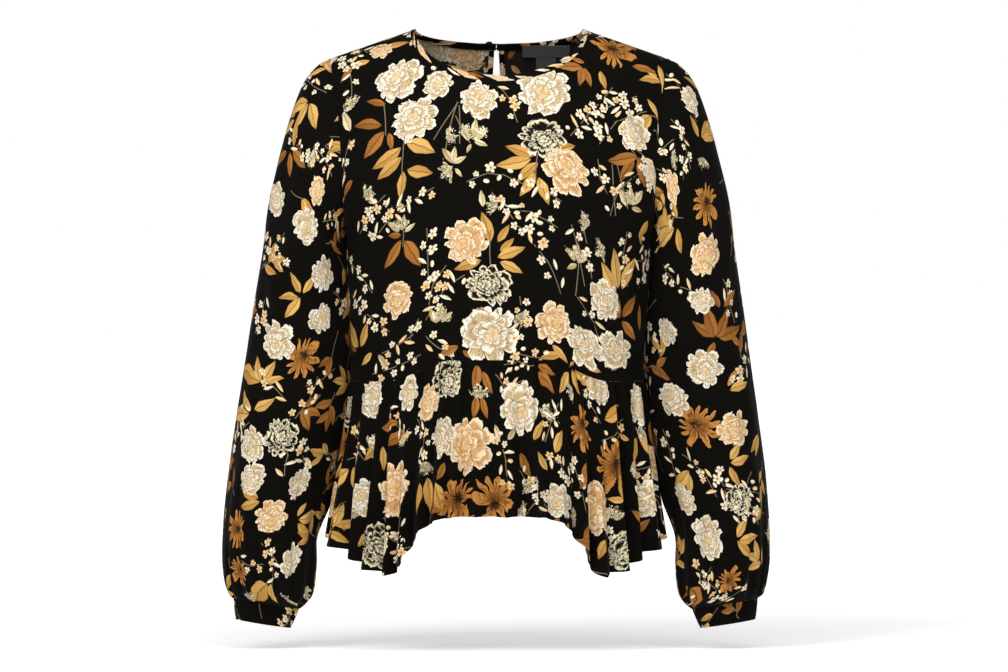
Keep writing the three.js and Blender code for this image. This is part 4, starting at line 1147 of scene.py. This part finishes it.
SLEEVE_TWIGS = {
    -1: [
        ([(300, 72), (312, 86), (326, 92)], 1.2), ([(290, 132), (300, 150), (318, 160)], 1.2),
        ([(262, 232), (272, 250), (286, 268)], 1.2), ([(266, 296), (262, 316), (256, 330)], 1.1),
        ([(318, 380), (310, 400), (296, 416)], 1.2), ([(246, 400), (240, 420), (236, 440)], 1.1),
        ([(300, 440), (304, 462), (296, 500)], 1.2), ([(262, 545), (276, 560), (272, 584)], 1.2),
    ],
    1: [
        ([(666, 74), (682, 92), (694, 118)], 1.3), ([(672, 120), (684, 140), (690, 164)], 1.2),
        ([(664, 266), (676, 284), (690, 290)], 1.2), ([(684, 455), (704, 470), (716, 494)], 1.3),
        ([(716, 470), (724, 486), (728, 510)], 1.2), ([(664, 430), (670, 452), (676, 478)], 1.1),
        ([(724, 280), (728, 300), (734, 320)], 1.1), ([(694, 566), (706, 580), (720, 600)], 1.2),
    ],
}


# Shader arithmetic: a wire carries one value, and each operation adds one maths node
class Wire:
    def __init__(self, tree, source):
        self.tree, self.source = tree, source

    def maths(self, operation, *others):
        node = self.tree.nodes.new("ShaderNodeMath")
        node.operation = operation
        for socket, value in zip(node.inputs, (self, *others)):
            if isinstance(value, Wire):
                self.tree.links.new(value.source, socket)
            else:
                socket.default_value = value
        return Wire(self.tree, node.outputs[0])

    def __add__(self, other):
        return self.maths("ADD", other)

    def __sub__(self, other):
        return self.maths("SUBTRACT", other)

    def __mul__(self, other):
        return self.maths("MULTIPLY", other)

    def __truediv__(self, other):
        return self.maths("DIVIDE", other)

    def below(self, other):
        return self.maths("LESS_THAN", other)

    def above(self, other):
        return self.maths("GREATER_THAN", other)

    def size(self):
        return self.maths("ABSOLUTE")

    def one_minus(self):
        return self * -1 + 1

    def ease(self, low, high):
        node = self.tree.nodes.new("ShaderNodeMapRange")
        node.interpolation_type = "SMOOTHSTEP"
        self.tree.links.new(self.source, node.inputs["Value"])
        node.inputs["From Min"].default_value = low
        node.inputs["From Max"].default_value = high
        return Wire(self.tree, node.outputs["Result"])


def tone(*parts):
    shares = [part / 255 for part in parts]
    linear = [((share + 0.055) / 1.055) ** 2.4 if share > 0.04 else share / 12.92 for share in shares]
    return (*linear, 1)


def blend(tree, share, first, second):
    node = tree.nodes.new("ShaderNodeMix")
    node.data_type = "RGBA"
    for socket, value in ((node.inputs[0], share), (node.inputs[6], first), (node.inputs[7], second)):
        if isinstance(value, Wire):
            tree.links.new(value.source, socket)
        else:
            socket.default_value = value
    return Wire(tree, node.outputs[2])


def by_kind(tree, kind, colours):
    node = tree.nodes.new("ShaderNodeValToRGB")
    ramp = node.color_ramp
    ramp.interpolation = "CONSTANT"
    while len(ramp.elements) < len(colours):
        ramp.elements.new(1)
    for n, colour in enumerate(colours):
        ramp.elements[n].position = (n + 0.5) / 10 if n else 0
        ramp.elements[n].color = colour
    tree.links.new((kind / 10).source, node.inputs[0])
    return Wire(tree, node.outputs[0])


def motif_group(name):
    tree = bpy.data.node_groups.new(name, "ShaderNodeTree")
    tree.interface.new_socket("Place", in_out="INPUT", socket_type="NodeSocketVector")
    tree.interface.new_socket("Colour", in_out="OUTPUT", socket_type="NodeSocketColor")
    tree.interface.new_socket("Mask", in_out="OUTPUT", socket_type="NodeSocketFloat")
    start = tree.nodes.new("NodeGroupInput")
    parts = tree.nodes.new("ShaderNodeSeparateXYZ")
    tree.links.new(start.outputs[0], parts.inputs[0])
    x, y, code = (Wire(tree, parts.outputs[n]) for n in range(3))
    kind = code.maths("FLOOR")
    return tree, x, y, kind, code - kind


def finish_group(tree, colour, mask):
    end = tree.nodes.new("NodeGroupOutput")
    tree.links.new(colour.source, end.inputs[0])
    tree.links.new(mask.source, end.inputs[1])
    return tree


def rough(tree, x, y, seed, scale, detail=1.0):
    vector = tree.nodes.new("ShaderNodeCombineXYZ")
    for socket, value in zip(vector.inputs, (x * scale, y * scale, seed * 40)):
        tree.links.new(value.source, socket)
    noise = tree.nodes.new("ShaderNodeTexNoise")
    noise.inputs["Scale"].default_value = 1
    noise.inputs["Detail"].default_value = detail
    tree.links.new(vector.outputs[0], noise.inputs["Vector"])
    parts = tree.nodes.new("ShaderNodeSeparateXYZ")
    tree.links.new(noise.outputs["Color"], parts.inputs[0])
    return tuple(Wire(tree, parts.outputs[n]) - 0.5 for n in range(3))


# Flowers, as rings of petals from the outside in
# Each ring has its radius, petals, more petals on some kinds, and notch
PETAL_RINGS = [
    (0.98, 8, 3, 0.36),
    (0.8, 7, 6, 0.34),
    (0.6, 6, 6, 0.32),
    (0.42, 5, 4, 0.34),
    (0.24, 3, 3, 0.36),
]
HEART_SHIFT = (0.1, -0.09)
HEART_FROM = 2
HEART_RING = 4
DAISY_HEART = 0.2
DAISY_LOBE = 0.9
FAN_HALF = 1.15
FAN_REACH = 0.86
SLOW_SWAY = 0.24
QUICK_SWAY = 0.15
PETAL_BEND = 0.4
PETAL_FRAY = 0.17
PETAL_LINE = 0.028
PETAL_LIGHT = [
    tone(229, 222, 204), tone(232, 212, 178), tone(228, 216, 182),
    tone(184, 124, 60), tone(228, 217, 186),
]
PETAL_BASE = [
    tone(190, 166, 124), tone(200, 156, 102), tone(22, 19, 13),
    tone(128, 80, 34), tone(186, 166, 118),
]
PETAL_DRAWN = [
    tone(128, 98, 54), tone(150, 100, 50), tone(12, 11, 9),
    tone(14, 11, 8), tone(12, 11, 9),
]
HEART_GOLD = tone(206, 164, 92)


def flower_motif():
    tree, x, y, kind, seed = motif_group("flower")
    bend_x, bend_y, tint = rough(tree, x, y, seed, 2.1, 1.5)
    fray, speck, _ = rough(tree, x, y, seed, 8.5, 1.0)
    x = x + bend_x * PETAL_BEND
    y = y + bend_y * PETAL_BEND
    many = kind.above(2.5)
    daisy = kind.above(3.5) * kind.below(4.5)
    fan = kind.above(4.5)
    light = by_kind(tree, kind, PETAL_LIGHT)
    base = by_kind(tree, kind, PETAL_BASE)
    drawn = by_kind(tree, kind, PETAL_DRAWN)
    colour, mask = None, None
    for n, (radius, petals, more, notch) in enumerate(PETAL_RINGS):
        if n in (0, HEART_FROM):
            place_x, place_y = (x + HEART_SHIFT[0], y + HEART_SHIFT[1]) if n else (x, y)
            angle = place_y.maths("ARCTAN2", place_x)
            reach = (place_x * place_x + place_y * place_y).maths("SQRT")
            plain_angle = angle
            slow = (angle * 2 + seed * 17).maths("SINE") * SLOW_SWAY
            quick = (angle * 3 + seed * 29).maths("SINE") * QUICK_SWAY
            angle = angle + slow + quick
        count = many * more + petals
        wave = (angle * count * 0.5 + seed * (11 + 7 * n)).maths("SINE").size()
        lobe = wave.maths("POWER", daisy * DAISY_LOBE + 0.5)
        sway_out = (angle + seed * (9 + 5 * n)).maths("SINE") * 0.09 + 1
        notched = daisy * 0.2 + notch
        edge = ((lobe.one_minus() * notched).one_minus() * radius + fray * PETAL_FRAY) * sway_out
        if 0 < n < HEART_RING:
            edge = edge * (daisy * -0.96 + 1)
        share = reach / edge
        inside = share.below(1)
        inner = PETAL_RINGS[n + 1][0] / radius if n + 1 < len(PETAL_RINGS) else 0
        inner_at = daisy * (DAISY_HEART - inner) + inner
        streak = (angle * (19 + 5 * n) + bend_x * 14 + fray * 3).maths("SINE")
        streak = streak + (angle * (31 - 3 * n) + bend_y * 17).maths("SINE") * 0.7
        rise = (share - inner_at) / inner_at.one_minus() + streak * 0.2 + tint * 0.9
        fill = blend(tree, (rise + many * -0.06).ease(-0.05, 0.52), base, light)
        cusp = wave.below(daisy * 0.12 + (0.1 + 0.03 * n)) * (share - inner_at * 0.9).above(0)
        line = cusp if n == 0 else share.above(1 - PETAL_LINE / radius).maths("MAXIMUM", cusp)
        vein = (streak + speck * 1.4).above(daisy * -0.4 + 0.78) * rise.below(0.96)
        fill = blend(tree, (line * 0.85).maths("MAXIMUM", vein * 0.64), fill, drawn)
        if n == 0:
            ribs = (streak + speck).above(-0.6) * plain_angle.size().below(FAN_HALF) * reach.above(0.12)
            fanned = ribs * reach.below(fray * 0.9 + (angle * 7).maths("SINE") * 0.12 + FAN_REACH)
        if n == HEART_RING:
            fill = blend(tree, many.one_minus() * 0.55, fill, HEART_GOLD)
            fill = blend(tree, daisy * 0.85, fill, drawn)
        colour = fill if colour is None else blend(tree, inside, colour, fill)
        mask = inside if mask is None else mask.maths("MAXIMUM", inside)
    mask = mask * fan.one_minus() + fanned * fan
    return finish_group(tree, colour, mask * kind.above(0.5))


# Leaves: a pointed lens with a midrib, side veins and a darker half
LEAF_LIGHT = [tone(212, 170, 98), tone(168, 112, 52), tone(226, 210, 168)]
LEAF_DARK = [tone(176, 130, 62), tone(132, 84, 36), tone(176, 150, 100)]
LEAF_DRAWN = [tone(120, 80, 30), tone(70, 38, 14), tone(24, 22, 18)]


def leaf_motif():
    tree, x, y, kind, seed = motif_group("leaf")
    bend = (x * x * -1 + 1) * ((seed - 0.5) * 0.9)
    y = y + bend * 0.42
    width = (x * x * -1 + 1) * (x * -0.32 + 1)
    y = y + (x * 9 + seed * 20).maths("SINE") * 0.03
    inside = y.size().below(width * 0.86)
    light = by_kind(tree, kind, LEAF_LIGHT)
    dark = by_kind(tree, kind, LEAF_DARK)
    drawn = by_kind(tree, kind, LEAF_DRAWN)
    veins = ((x - y.size() * 0.5) * 24).maths("SINE").above(0.86) * 0.35
    half = y.above(0) * (seed.above(0.5) * 2 - 1) * 0.42 + 0.5
    fill = blend(tree, half + (x * 0.18), light, dark)
    rib = y.size().below(0.07).maths("MAXIMUM", veins)
    rib = rib.maths("MAXIMUM", y.size().above(width * 0.86 - 0.09) * 0.35)
    fill = blend(tree, rib * 0.8, fill, drawn)
    return finish_group(tree, fill, inside * kind.above(0.5))


# Small motifs: five petal blossoms, buds, fine stems and leaflets
SMALL_PALE = tone(234, 224, 196)
SMALL_PEACH = tone(228, 190, 134)
SMALL_TAN = tone(168, 128, 72)
SMALL_STEM = tone(120, 106, 84)


def small_motif():
    tree, x, y, kind, seed = motif_group("small")
    angle = y.maths("ARCTAN2", x)
    reach = (x * x + y * y).maths("SQRT")
    uneven = angle + (angle * 2 + seed * 23).maths("SINE") * 0.2
    petals = (uneven * 2.5).maths("SINE").size().maths("POWER", 0.8)
    blossom = reach.below(petals * 0.55 + (angle + seed * 31).maths("SINE") * 0.1 + 0.36) * kind.below(1.5)
    heart = reach.below(0.22).maths("MAXIMUM", (uneven * 2.5).maths("SINE").size().below(0.2) * 0.7)
    rays = (uneven * 12.5 + seed * 9).maths("SINE").above(0.55) * reach.below(0.62)
    heart = heart.maths("MAXIMUM", rays * 0.7)
    bud = reach.below(0.92) * kind.above(1.5) * kind.below(2.5)
    arch = y + (x * x * -1 + 1) * ((seed - 0.5) * 0.9)
    stem = arch.size().below(0.2) * kind.above(2.5) * kind.below(3.5)
    leaflet = y.size().below((x * x * -1 + 1) * 0.85) * kind.above(3.5)
    shape = blossom.maths("MAXIMUM", bud).maths("MAXIMUM", stem).maths("MAXIMUM", leaflet)
    colour = blend(tree, seed.above(0.66) * 0.8, SMALL_PALE, SMALL_PEACH)
    colour = blend(tree, heart * kind.below(1.5) + y.above(0.2) * kind.above(1.5) * 0.5, colour, SMALL_TAN)
    colour = blend(tree, stem, colour, SMALL_STEM)
    return finish_group(tree, colour, shape * kind.above(0.5))


GROUPS = {"flower": flower_motif(), "leaf": leaf_motif(), "small": small_motif()}
PRINT_ORDER = ("small_c", "leaf_c", "leaf_b", "leaf_a", "small_b", "flower_b", "flower_a", "small_a")
GROUND = tone(10, 8, 5)
REVERSE_TINT = tone(150, 140, 128)
CREPE_SCALE = 1500
CREPE_STRENGTH = 0.16


def printed_cloth(name, reverse=False):
    material = bpy.data.materials.new(name)
    material.use_nodes = True
    tree = material.node_tree
    shader = tree.nodes["Principled BSDF"]
    ground = tree.nodes.new("ShaderNodeRGB")
    ground.outputs[0].default_value = GROUND
    colour = Wire(tree, ground.outputs[0])
    for layer in PRINT_ORDER:
        read = tree.nodes.new("ShaderNodeAttribute")
        read.attribute_name = layer
        group = tree.nodes.new("ShaderNodeGroup")
        group.node_tree = GROUPS[layer.split("_")[0]]
        tree.links.new(read.outputs["Vector"], group.inputs[0])
        colour = blend(tree, Wire(tree, group.outputs[1]), colour, Wire(tree, group.outputs[0]))
    if reverse:
        colour = blend(tree, 0.05, colour, REVERSE_TINT)
    tree.links.new(colour.source, shader.inputs["Base Color"])
    shader.inputs["Roughness"].default_value = 0.78
    shader.inputs["Specular IOR Level"].default_value = 0.04
    shader.inputs["Sheen Weight"].default_value = 0.012
    shader.inputs["Sheen Roughness"].default_value = 0.5
    place = tree.nodes.new("ShaderNodeTexCoord")
    crepe = tree.nodes.new("ShaderNodeTexNoise")
    crepe.inputs["Scale"].default_value = CREPE_SCALE
    crepe.inputs["Detail"].default_value = 2
    tree.links.new(place.outputs["Object"], crepe.inputs["Vector"])
    bump = tree.nodes.new("ShaderNodeBump")
    bump.inputs["Strength"].default_value = CREPE_STRENGTH
    bump.inputs["Distance"].default_value = 0.0004
    tree.links.new(crepe.outputs["Fac"], bump.inputs["Height"])
    tree.links.new(bump.outputs[0], shader.inputs["Normal"])
    return material


def plain(name, colour, roughness, specular=0.4):
    material = bpy.data.materials.new(name)
    material.use_nodes = True
    shader = material.node_tree.nodes["Principled BSDF"]
    shader.inputs["Base Color"].default_value = colour
    shader.inputs["Roughness"].default_value = roughness
    shader.inputs["Specular IOR Level"].default_value = specular
    return material


PRINTED = printed_cloth("printed")
REVERSE = printed_cloth("reverse", reverse=True)
LABEL_CLOTH = plain("label_cloth", tone(78, 77, 80), 0.6)
RESIN = plain("resin", tone(20, 18, 16), 0.22, 0.5)
CORD = plain("cord", tone(18, 16, 15), 0.7)


def dress(piece, materials, slot, *replaced):
    for material in materials:
        piece.data.materials.append(material)
    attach(piece, "root")
    if replaced:
        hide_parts(*replaced)


# Bodice and peplum
for side in ("front", "back"):
    mirror = -OUTWARD[side]
    grid, kept, across, up = bodice(side)
    motifs = Motifs(across * mirror, up, grid, kept=kept, seed=5)
    if side == "front":
        motifs.chart(FRONT_FLOWERS, FRONT_LEAVES, FRONT_TWIGS, FRONT_STEMS, FRONT_SKETCHES)
        motifs.fill(90, flowers=False)
    else:
        motifs.chart(BACK_FLOWERS, BACK_LEAVES, BACK_TWIGS, inside=True)
        motifs.fill(200)
    piece = wall(f"bodice_{side}_cloth", grid, OUTWARD[side], kept=kept, motifs=motifs)
    dress(piece, (PRINTED, REVERSE), "printed_cloth", f"{side}_bodice")
    grid, across, up = peplum(side)
    motifs = Motifs(across * mirror, up, grid if side == "front" else None, seed=8)
    if side == "front":
        motifs.chart(PEPLUM_FLOWERS, PEPLUM_LEAVES, PEPLUM_TWIGS, sketches=PEPLUM_SKETCHES)
    motifs.fill(160, flowers=side == "back")
    piece = wall(f"peplum_{side}_cloth", grid, OUTWARD[side], motifs=motifs)
    dress(piece, (PRINTED, REVERSE), "printed_cloth", f"peplum_{side}")

# Sleeves and cuffs
for word, hand in (("left", -1), ("right", 1)):
    grid, across, up = sleeve(hand)
    motifs = Motifs(across, up, grid, closed=True, seed=20 + hand)
    motifs.chart(SLEEVE_FLOWERS[hand], SLEEVE_LEAVES[hand], SLEEVE_TWIGS[hand])
    motifs.fill(160, only=lambda place, rise: hand * place > 8)
    motifs.fill(300, flowers=False)
    piece = wall(f"sleeve_{word}_cloth", grid, hand, closed=True, motifs=motifs)
    dress(piece, (PRINTED, REVERSE), "printed_cloth", f"sleeve_{word}")
    grid, across, up = cuff(hand)
    motifs = Motifs(across, up, closed=True, seed=40 + hand)
    motifs.fill(120, flowers=False)
    piece = wall(f"cuff_{word}_cloth", grid, hand, closed=True, motifs=motifs)
    dress(piece, (PRINTED, REVERSE), "printed_cloth", f"cuff_{word}")


# Neck binding: a rounded strip that starts and ends over the keyhole
def binding_frame(turn, side):
    low = neck_point(turn, BINDING_WIDTH, side)
    rise = neck_point(turn, 0, side) - low
    width = np.linalg.norm(rise)
    up = rise / width
    along = neck_point(turn + 1, BINDING_WIDTH / 2, side) - neck_point(turn - 1, BINDING_WIDTH / 2, side)
    normal = np.cross(along, up)
    if abs(turn) > 89.5:
        normal = np.array([0.0, 0.0, 1.0])
    normal = normal - up * normal.dot(up)
    normal /= np.linalg.norm(normal)
    if normal.dot([0, OUTWARD[side], 1]) < 0:
        normal = -normal
    return low, up, width, normal


SECTION_POINTS = 20
SECTION_SQUARENESS = 0.5


def binding():
    slit = math.degrees(math.asin(KEYHOLE_X / NECK_HALF_WIDTH))
    end = math.degrees(BINDING_END_GAP / 2 / NECK_HALF_WIDTH)
    stations = [(turn, "back") for turn in np.linspace(slit + end, 90, BINDING_STEPS)]
    stations += [(turn, "front") for turn in np.linspace(90, -90, 2 * BINDING_STEPS)[1:-1]]
    stations += [(turn, "back") for turn in np.linspace(-90, slit - end, BINDING_STEPS)]
    turns = np.linspace(0, 2 * np.pi, SECTION_POINTS + 1)[:-1]
    squared = lambda wave: np.sign(wave) * np.abs(wave) ** SECTION_SQUARENESS
    rings = []
    for n, (turn, side) in enumerate(stations):
        low, up, width, normal = binding_frame(turn, side)
        middle = low + up * (BINDING_GAP + width) / 2 + normal * (BINDING_PROUD - BINDING_THICKNESS / 2)
        tall = (width - BINDING_GAP) / 2
        thick = BINDING_THICKNESS / 2 * (1 + 0.06 * math.sin(n * 0.9 + 2 * math.sin(n * 0.23)))
        upright = np.outer(squared(np.cos(turns)) * tall, up)
        rings.append(middle + upright + np.outer(squared(np.sin(turns)) * thick, normal))
    return np.array(rings)


rings = binding()
stitched = np.concatenate([rings, rings[:, :1]], 1)
around = arc(stitched, 1)[:, :-1]
motifs = Motifs(arc(rings, 0), around, closed=True, seed=61)
motifs.dot_along(66)
piece = sweep("neck_binding_cloth", rings, motifs)
dress(piece, (PRINTED,), "printed_cloth", "neck_binding")


# Turned back edges along the keyhole, on the inside of the back
def inside_back(x, z, depth):
    here = np.stack([x, body_depth(x, z, "back"), z], -1)
    aside = np.stack([x + 0.5, body_depth(x + 0.5, z, "back"), z], -1) - here
    down = np.stack([x, body_depth(x, z - 0.5, "back"), z - 0.5], -1) - here
    normal = np.cross(down, aside)
    normal = normal * np.sign(normal[..., 1:2]) / np.linalg.norm(normal, axis=-1, keepdims=True)
    return here - normal * np.broadcast_to(depth, x.shape)[..., None]


FACING_WIDTH = 6
FACING_TOP = -19
for word, hand in (("left", -1), ("right", 1)):
    rows = np.linspace(FACING_TOP, KEYHOLE_ROUND_AT - 8, 40)[:, None]
    share = np.linspace(0, 1, 9)[None, :]
    x = KEYHOLE_X + hand * (keyhole_half(rows) + 0.2 + FACING_WIDTH * share)
    grid = inside_back(x, rows + 0 * share, CLOTH + 0.25 + 0.12 * np.sin(rows * 0.7))
    across, up = arc(grid, 1), -arc(grid, 0)
    motifs = Motifs(across, up, seed=70 + hand)
    motifs.dot_along(9)
    piece = wall(f"keyhole_facing_{word}", grid, -hand, thickness=0.4, motifs=motifs)
    dress(piece, (PRINTED, REVERSE), "printed_cloth")


# Label and size tab, blank, held closer to the cloth at their stitched ends
def inside_label(name, node, left, right, top, height, thickness, wave):
    share = np.linspace(0, 1, 61)[None, :]
    rows = np.linspace(0, 1, 17)[:, None]
    x = left + (right - left) * share + 0 * rows
    z = top - height * rows + 0 * share
    seat = BINDING_THICKNESS - BINDING_PROUD + SLEEVE_GAP
    lift = wave * np.sin(np.pi * share) * (0.4 + 0.6 * rows) + 0.12 * np.sin(9 * share + 4 * rows)
    fold = thickness * 0.5 * (np.exp(-(share / 0.02) ** 2) + np.exp(-((1 - share) / 0.02) ** 2))
    grid = inside_back(x, z, seat + thickness * 0.8 + lift * 0.5 - fold * 0.4)
    piece = wall(name, grid, -1, thickness=-thickness * 0.75)
    dress(piece, (LABEL_CLOTH, LABEL_CLOTH), "label", node)


inside_label("neck_label_cloth", "neck_label", 27, 82, -15, 13, 1, 0.5)
inside_label("size_tab_cloth", "size_tab", 43, 66, -28.4, 12.5, 0.9, 0.8)

# Button and loop
BUTTON_RADIUS = 4.75
BUTTON_SHANK = 1.5
BUTTON_UNDER = 2.3
BUTTON_TOP = 4.6
BUTTON_FROM_SLIT = 8
BUTTON_SIDES = 48
LOOP_RADIUS = 0.8
LOOP_BEND = 2.9
LOOP_REACH = 11
LOOP_SIDES = 14


def fastening_frame():
    turn = math.degrees(math.asin((KEYHOLE_X - BUTTON_FROM_SLIT) / NECK_HALF_WIDTH))
    low, up, width, normal = binding_frame(turn, "back")
    seat = low + up * width / 2 + normal * (BINDING_PROUD + SLEEVE_GAP)
    along = np.cross(up, normal)
    if along[0] < 0:
        along = -along
    return seat, along, np.cross(normal, along), normal


def placed(points):
    seat, along, up, normal = fastening_frame()
    points = np.asarray(points, float)
    return seat + points[..., :1] * along + points[..., 1:2] * up + points[..., 2:3] * normal


def ring_of(radius, height):
    turns = np.linspace(0, 2 * np.pi, BUTTON_SIDES + 1)[:-1]
    return np.stack([radius * np.cos(turns), radius * np.sin(turns), np.full_like(turns, height)], -1)


button_profile = [
    (BUTTON_SHANK, 0), (BUTTON_SHANK, BUTTON_UNDER - 0.2), (BUTTON_SHANK + 0.3, BUTTON_UNDER),
    (BUTTON_RADIUS - 0.7, BUTTON_UNDER), (BUTTON_RADIUS - 0.15, BUTTON_UNDER + 0.35),
    (BUTTON_RADIUS, BUTTON_UNDER + 0.95), (BUTTON_RADIUS - 0.12, BUTTON_UNDER + 1.5),
    (BUTTON_RADIUS - 0.5, BUTTON_TOP - 0.15), (BUTTON_RADIUS - 1.0, BUTTON_TOP),
    (BUTTON_RADIUS - 1.5, BUTTON_TOP - 0.25), (BUTTON_RADIUS - 2.3, BUTTON_TOP - 0.5),
    (0.6, BUTTON_TOP - 0.45),
]
piece = sweep("neck_button_resin", [placed(ring_of(radius, height)) for radius, height in button_profile])
dress(piece, (RESIN,), "button", "neck_button")

half_turn = np.radians(np.linspace(90, 270, 25))
path = [(x, LOOP_BEND) for x in np.linspace(LOOP_REACH, 0.5, 16)]
path += [(LOOP_BEND * math.cos(turn), LOOP_BEND * math.sin(turn)) for turn in half_turn]
path += [(x, -LOOP_BEND) for x in np.linspace(0.5, LOOP_REACH, 16)]
path = np.array([(x, y, LOOP_RADIUS) for x, y in path])
ahead = np.gradient(path, axis=0)
ahead /= np.linalg.norm(ahead, axis=1, keepdims=True)
rings = []
for n, (point, forward) in enumerate(zip(path, ahead)):
    outward = np.cross(forward, [0, 0, 1])
    turns = np.linspace(0, 2 * np.pi, LOOP_SIDES + 1)[:-1]
    radius = (LOOP_RADIUS - 0.06) * (1 + 0.07 * np.sin(3 * turns + n * 0.9))
    aside = np.outer(radius * np.cos(turns), outward)
    rings.append(placed(point + aside + np.outer(radius * np.sin(turns), [0, 0, 1])))
piece = sweep("neck_loop_cord", rings)
dress(piece, (CORD,), "black_cloth", "neck_loop")

# Floor, light and camera, in metres
FLOOR_Z = -0.706
FLOOR_SPAN = 40
FLOOR_FRONT = -6
FLOOR_BACK = 300
WORLD_LIGHT = 0.24
FLOOR_GLOW = 0.5
FLOOR_NEAR = 0.6
FLOOR_FAR = 2.6
SENSOR = 36

floor_mesh = bpy.data.meshes.new("floor")
corners = [(-FLOOR_SPAN, FLOOR_FRONT, FLOOR_Z), (FLOOR_SPAN, FLOOR_FRONT, FLOOR_Z)]
corners += [(FLOOR_SPAN, FLOOR_BACK, FLOOR_Z), (-FLOOR_SPAN, FLOOR_BACK, FLOOR_Z)]
floor_mesh.from_pydata(corners, [], [(0, 1, 2, 3)])
floor = bpy.data.objects.new("floor", floor_mesh)
floor_with_painted_glow = plain("floor_with_painted_glow", (0.9, 0.9, 0.9, 1), 0.95, 0)
floor_shader = floor_with_painted_glow.node_tree.nodes["Principled BSDF"]
# The floor is a white diffuse surface that also glows with painted light: its emission rises from FLOOR_GLOW
# within FLOOR_NEAR of the middle to full strength beyond FLOOR_FAR, so the far floor looks evenly lit
floor_shader.inputs["Emission Color"].default_value = (1, 1, 1, 1)
floor_tree = floor_with_painted_glow.node_tree
floor_place = floor_tree.nodes.new("ShaderNodeNewGeometry")
floor_length = floor_tree.nodes.new("ShaderNodeVectorMath")
floor_length.operation = "LENGTH"
floor_tree.links.new(floor_place.outputs["Position"], floor_length.inputs[0])
floor_share = Wire(floor_tree, floor_length.outputs["Value"]).ease(FLOOR_NEAR, FLOOR_FAR)
floor_glow = floor_share * (1 - FLOOR_GLOW) + FLOOR_GLOW
floor_tree.links.new(floor_glow.source, floor_shader.inputs["Emission Strength"])
floor_mesh.materials.append(floor_with_painted_glow)
bpy.context.scene.collection.objects.link(floor)

world = bpy.data.worlds.new("studio")
bpy.context.scene.world = world
world.use_nodes = True
nodes, links = world.node_tree.nodes, world.node_tree.links
nodes["Background"].inputs["Strength"].default_value = WORLD_LIGHT
nodes["Background"].inputs["Color"].default_value = (1, 1, 1, 1)
seen = nodes.new("ShaderNodeBackground")
seen.inputs["Color"].default_value = (1, 1, 1, 1)
path_kind = nodes.new("ShaderNodeLightPath")
mixed = nodes.new("ShaderNodeMixShader")
links.new(path_kind.outputs["Is Camera Ray"], mixed.inputs[0])
links.new(nodes["Background"].outputs[0], mixed.inputs[1])
links.new(seen.outputs[0], mixed.inputs[2])
links.new(mixed.outputs[0], nodes["World Output"].inputs[0])


def area_light(name, place, aim, size, power):
    data = bpy.data.lights.new(name, "AREA")
    data.shape = "RECTANGLE"
    data.size, data.size_y = size
    data.energy = power
    light = bpy.data.objects.new(name, data)
    light.location = place
    light.rotation_euler = (Vector(aim) - Vector(place)).to_track_quat("-Z", "Y").to_euler()
    bpy.context.scene.collection.objects.link(light)


AIM = (0, 0, -0.35)
area_light("key", (-1.7, -2.9, 1.9), AIM, (1.6, 1.6), 58)
area_light("neck", (-0.1, -0.62, 0.5), (0, 0.08, -0.04), (0.2, 0.12), 1.9)
area_light("fill", (2.6, -2.8, 0.4), AIM, (2.4, 2.4), 13)
area_light("top", (0.2, -1.7, 2.0), AIM, (2.4, 1.6), 32)

camera_data = bpy.data.cameras.new("camera")
camera_data.sensor_width = SENSOR
camera_data.lens = SENSOR * CAMERA_DISTANCE / (PHOTO_WIDTH * PIXEL)
camera_data.clip_end = 1000
camera = bpy.data.objects.new("camera", camera_data)
camera.location = (CAMERA_X * MM, -CAMERA_DISTANCE * MM, CAMERA_Z * MM)
camera.rotation_euler = (math.pi / 2, 0, 0)
bpy.context.scene.collection.objects.link(camera)
bpy.context.scene.camera = camera
bpy.context.scene.view_settings.view_transform = "Standard"
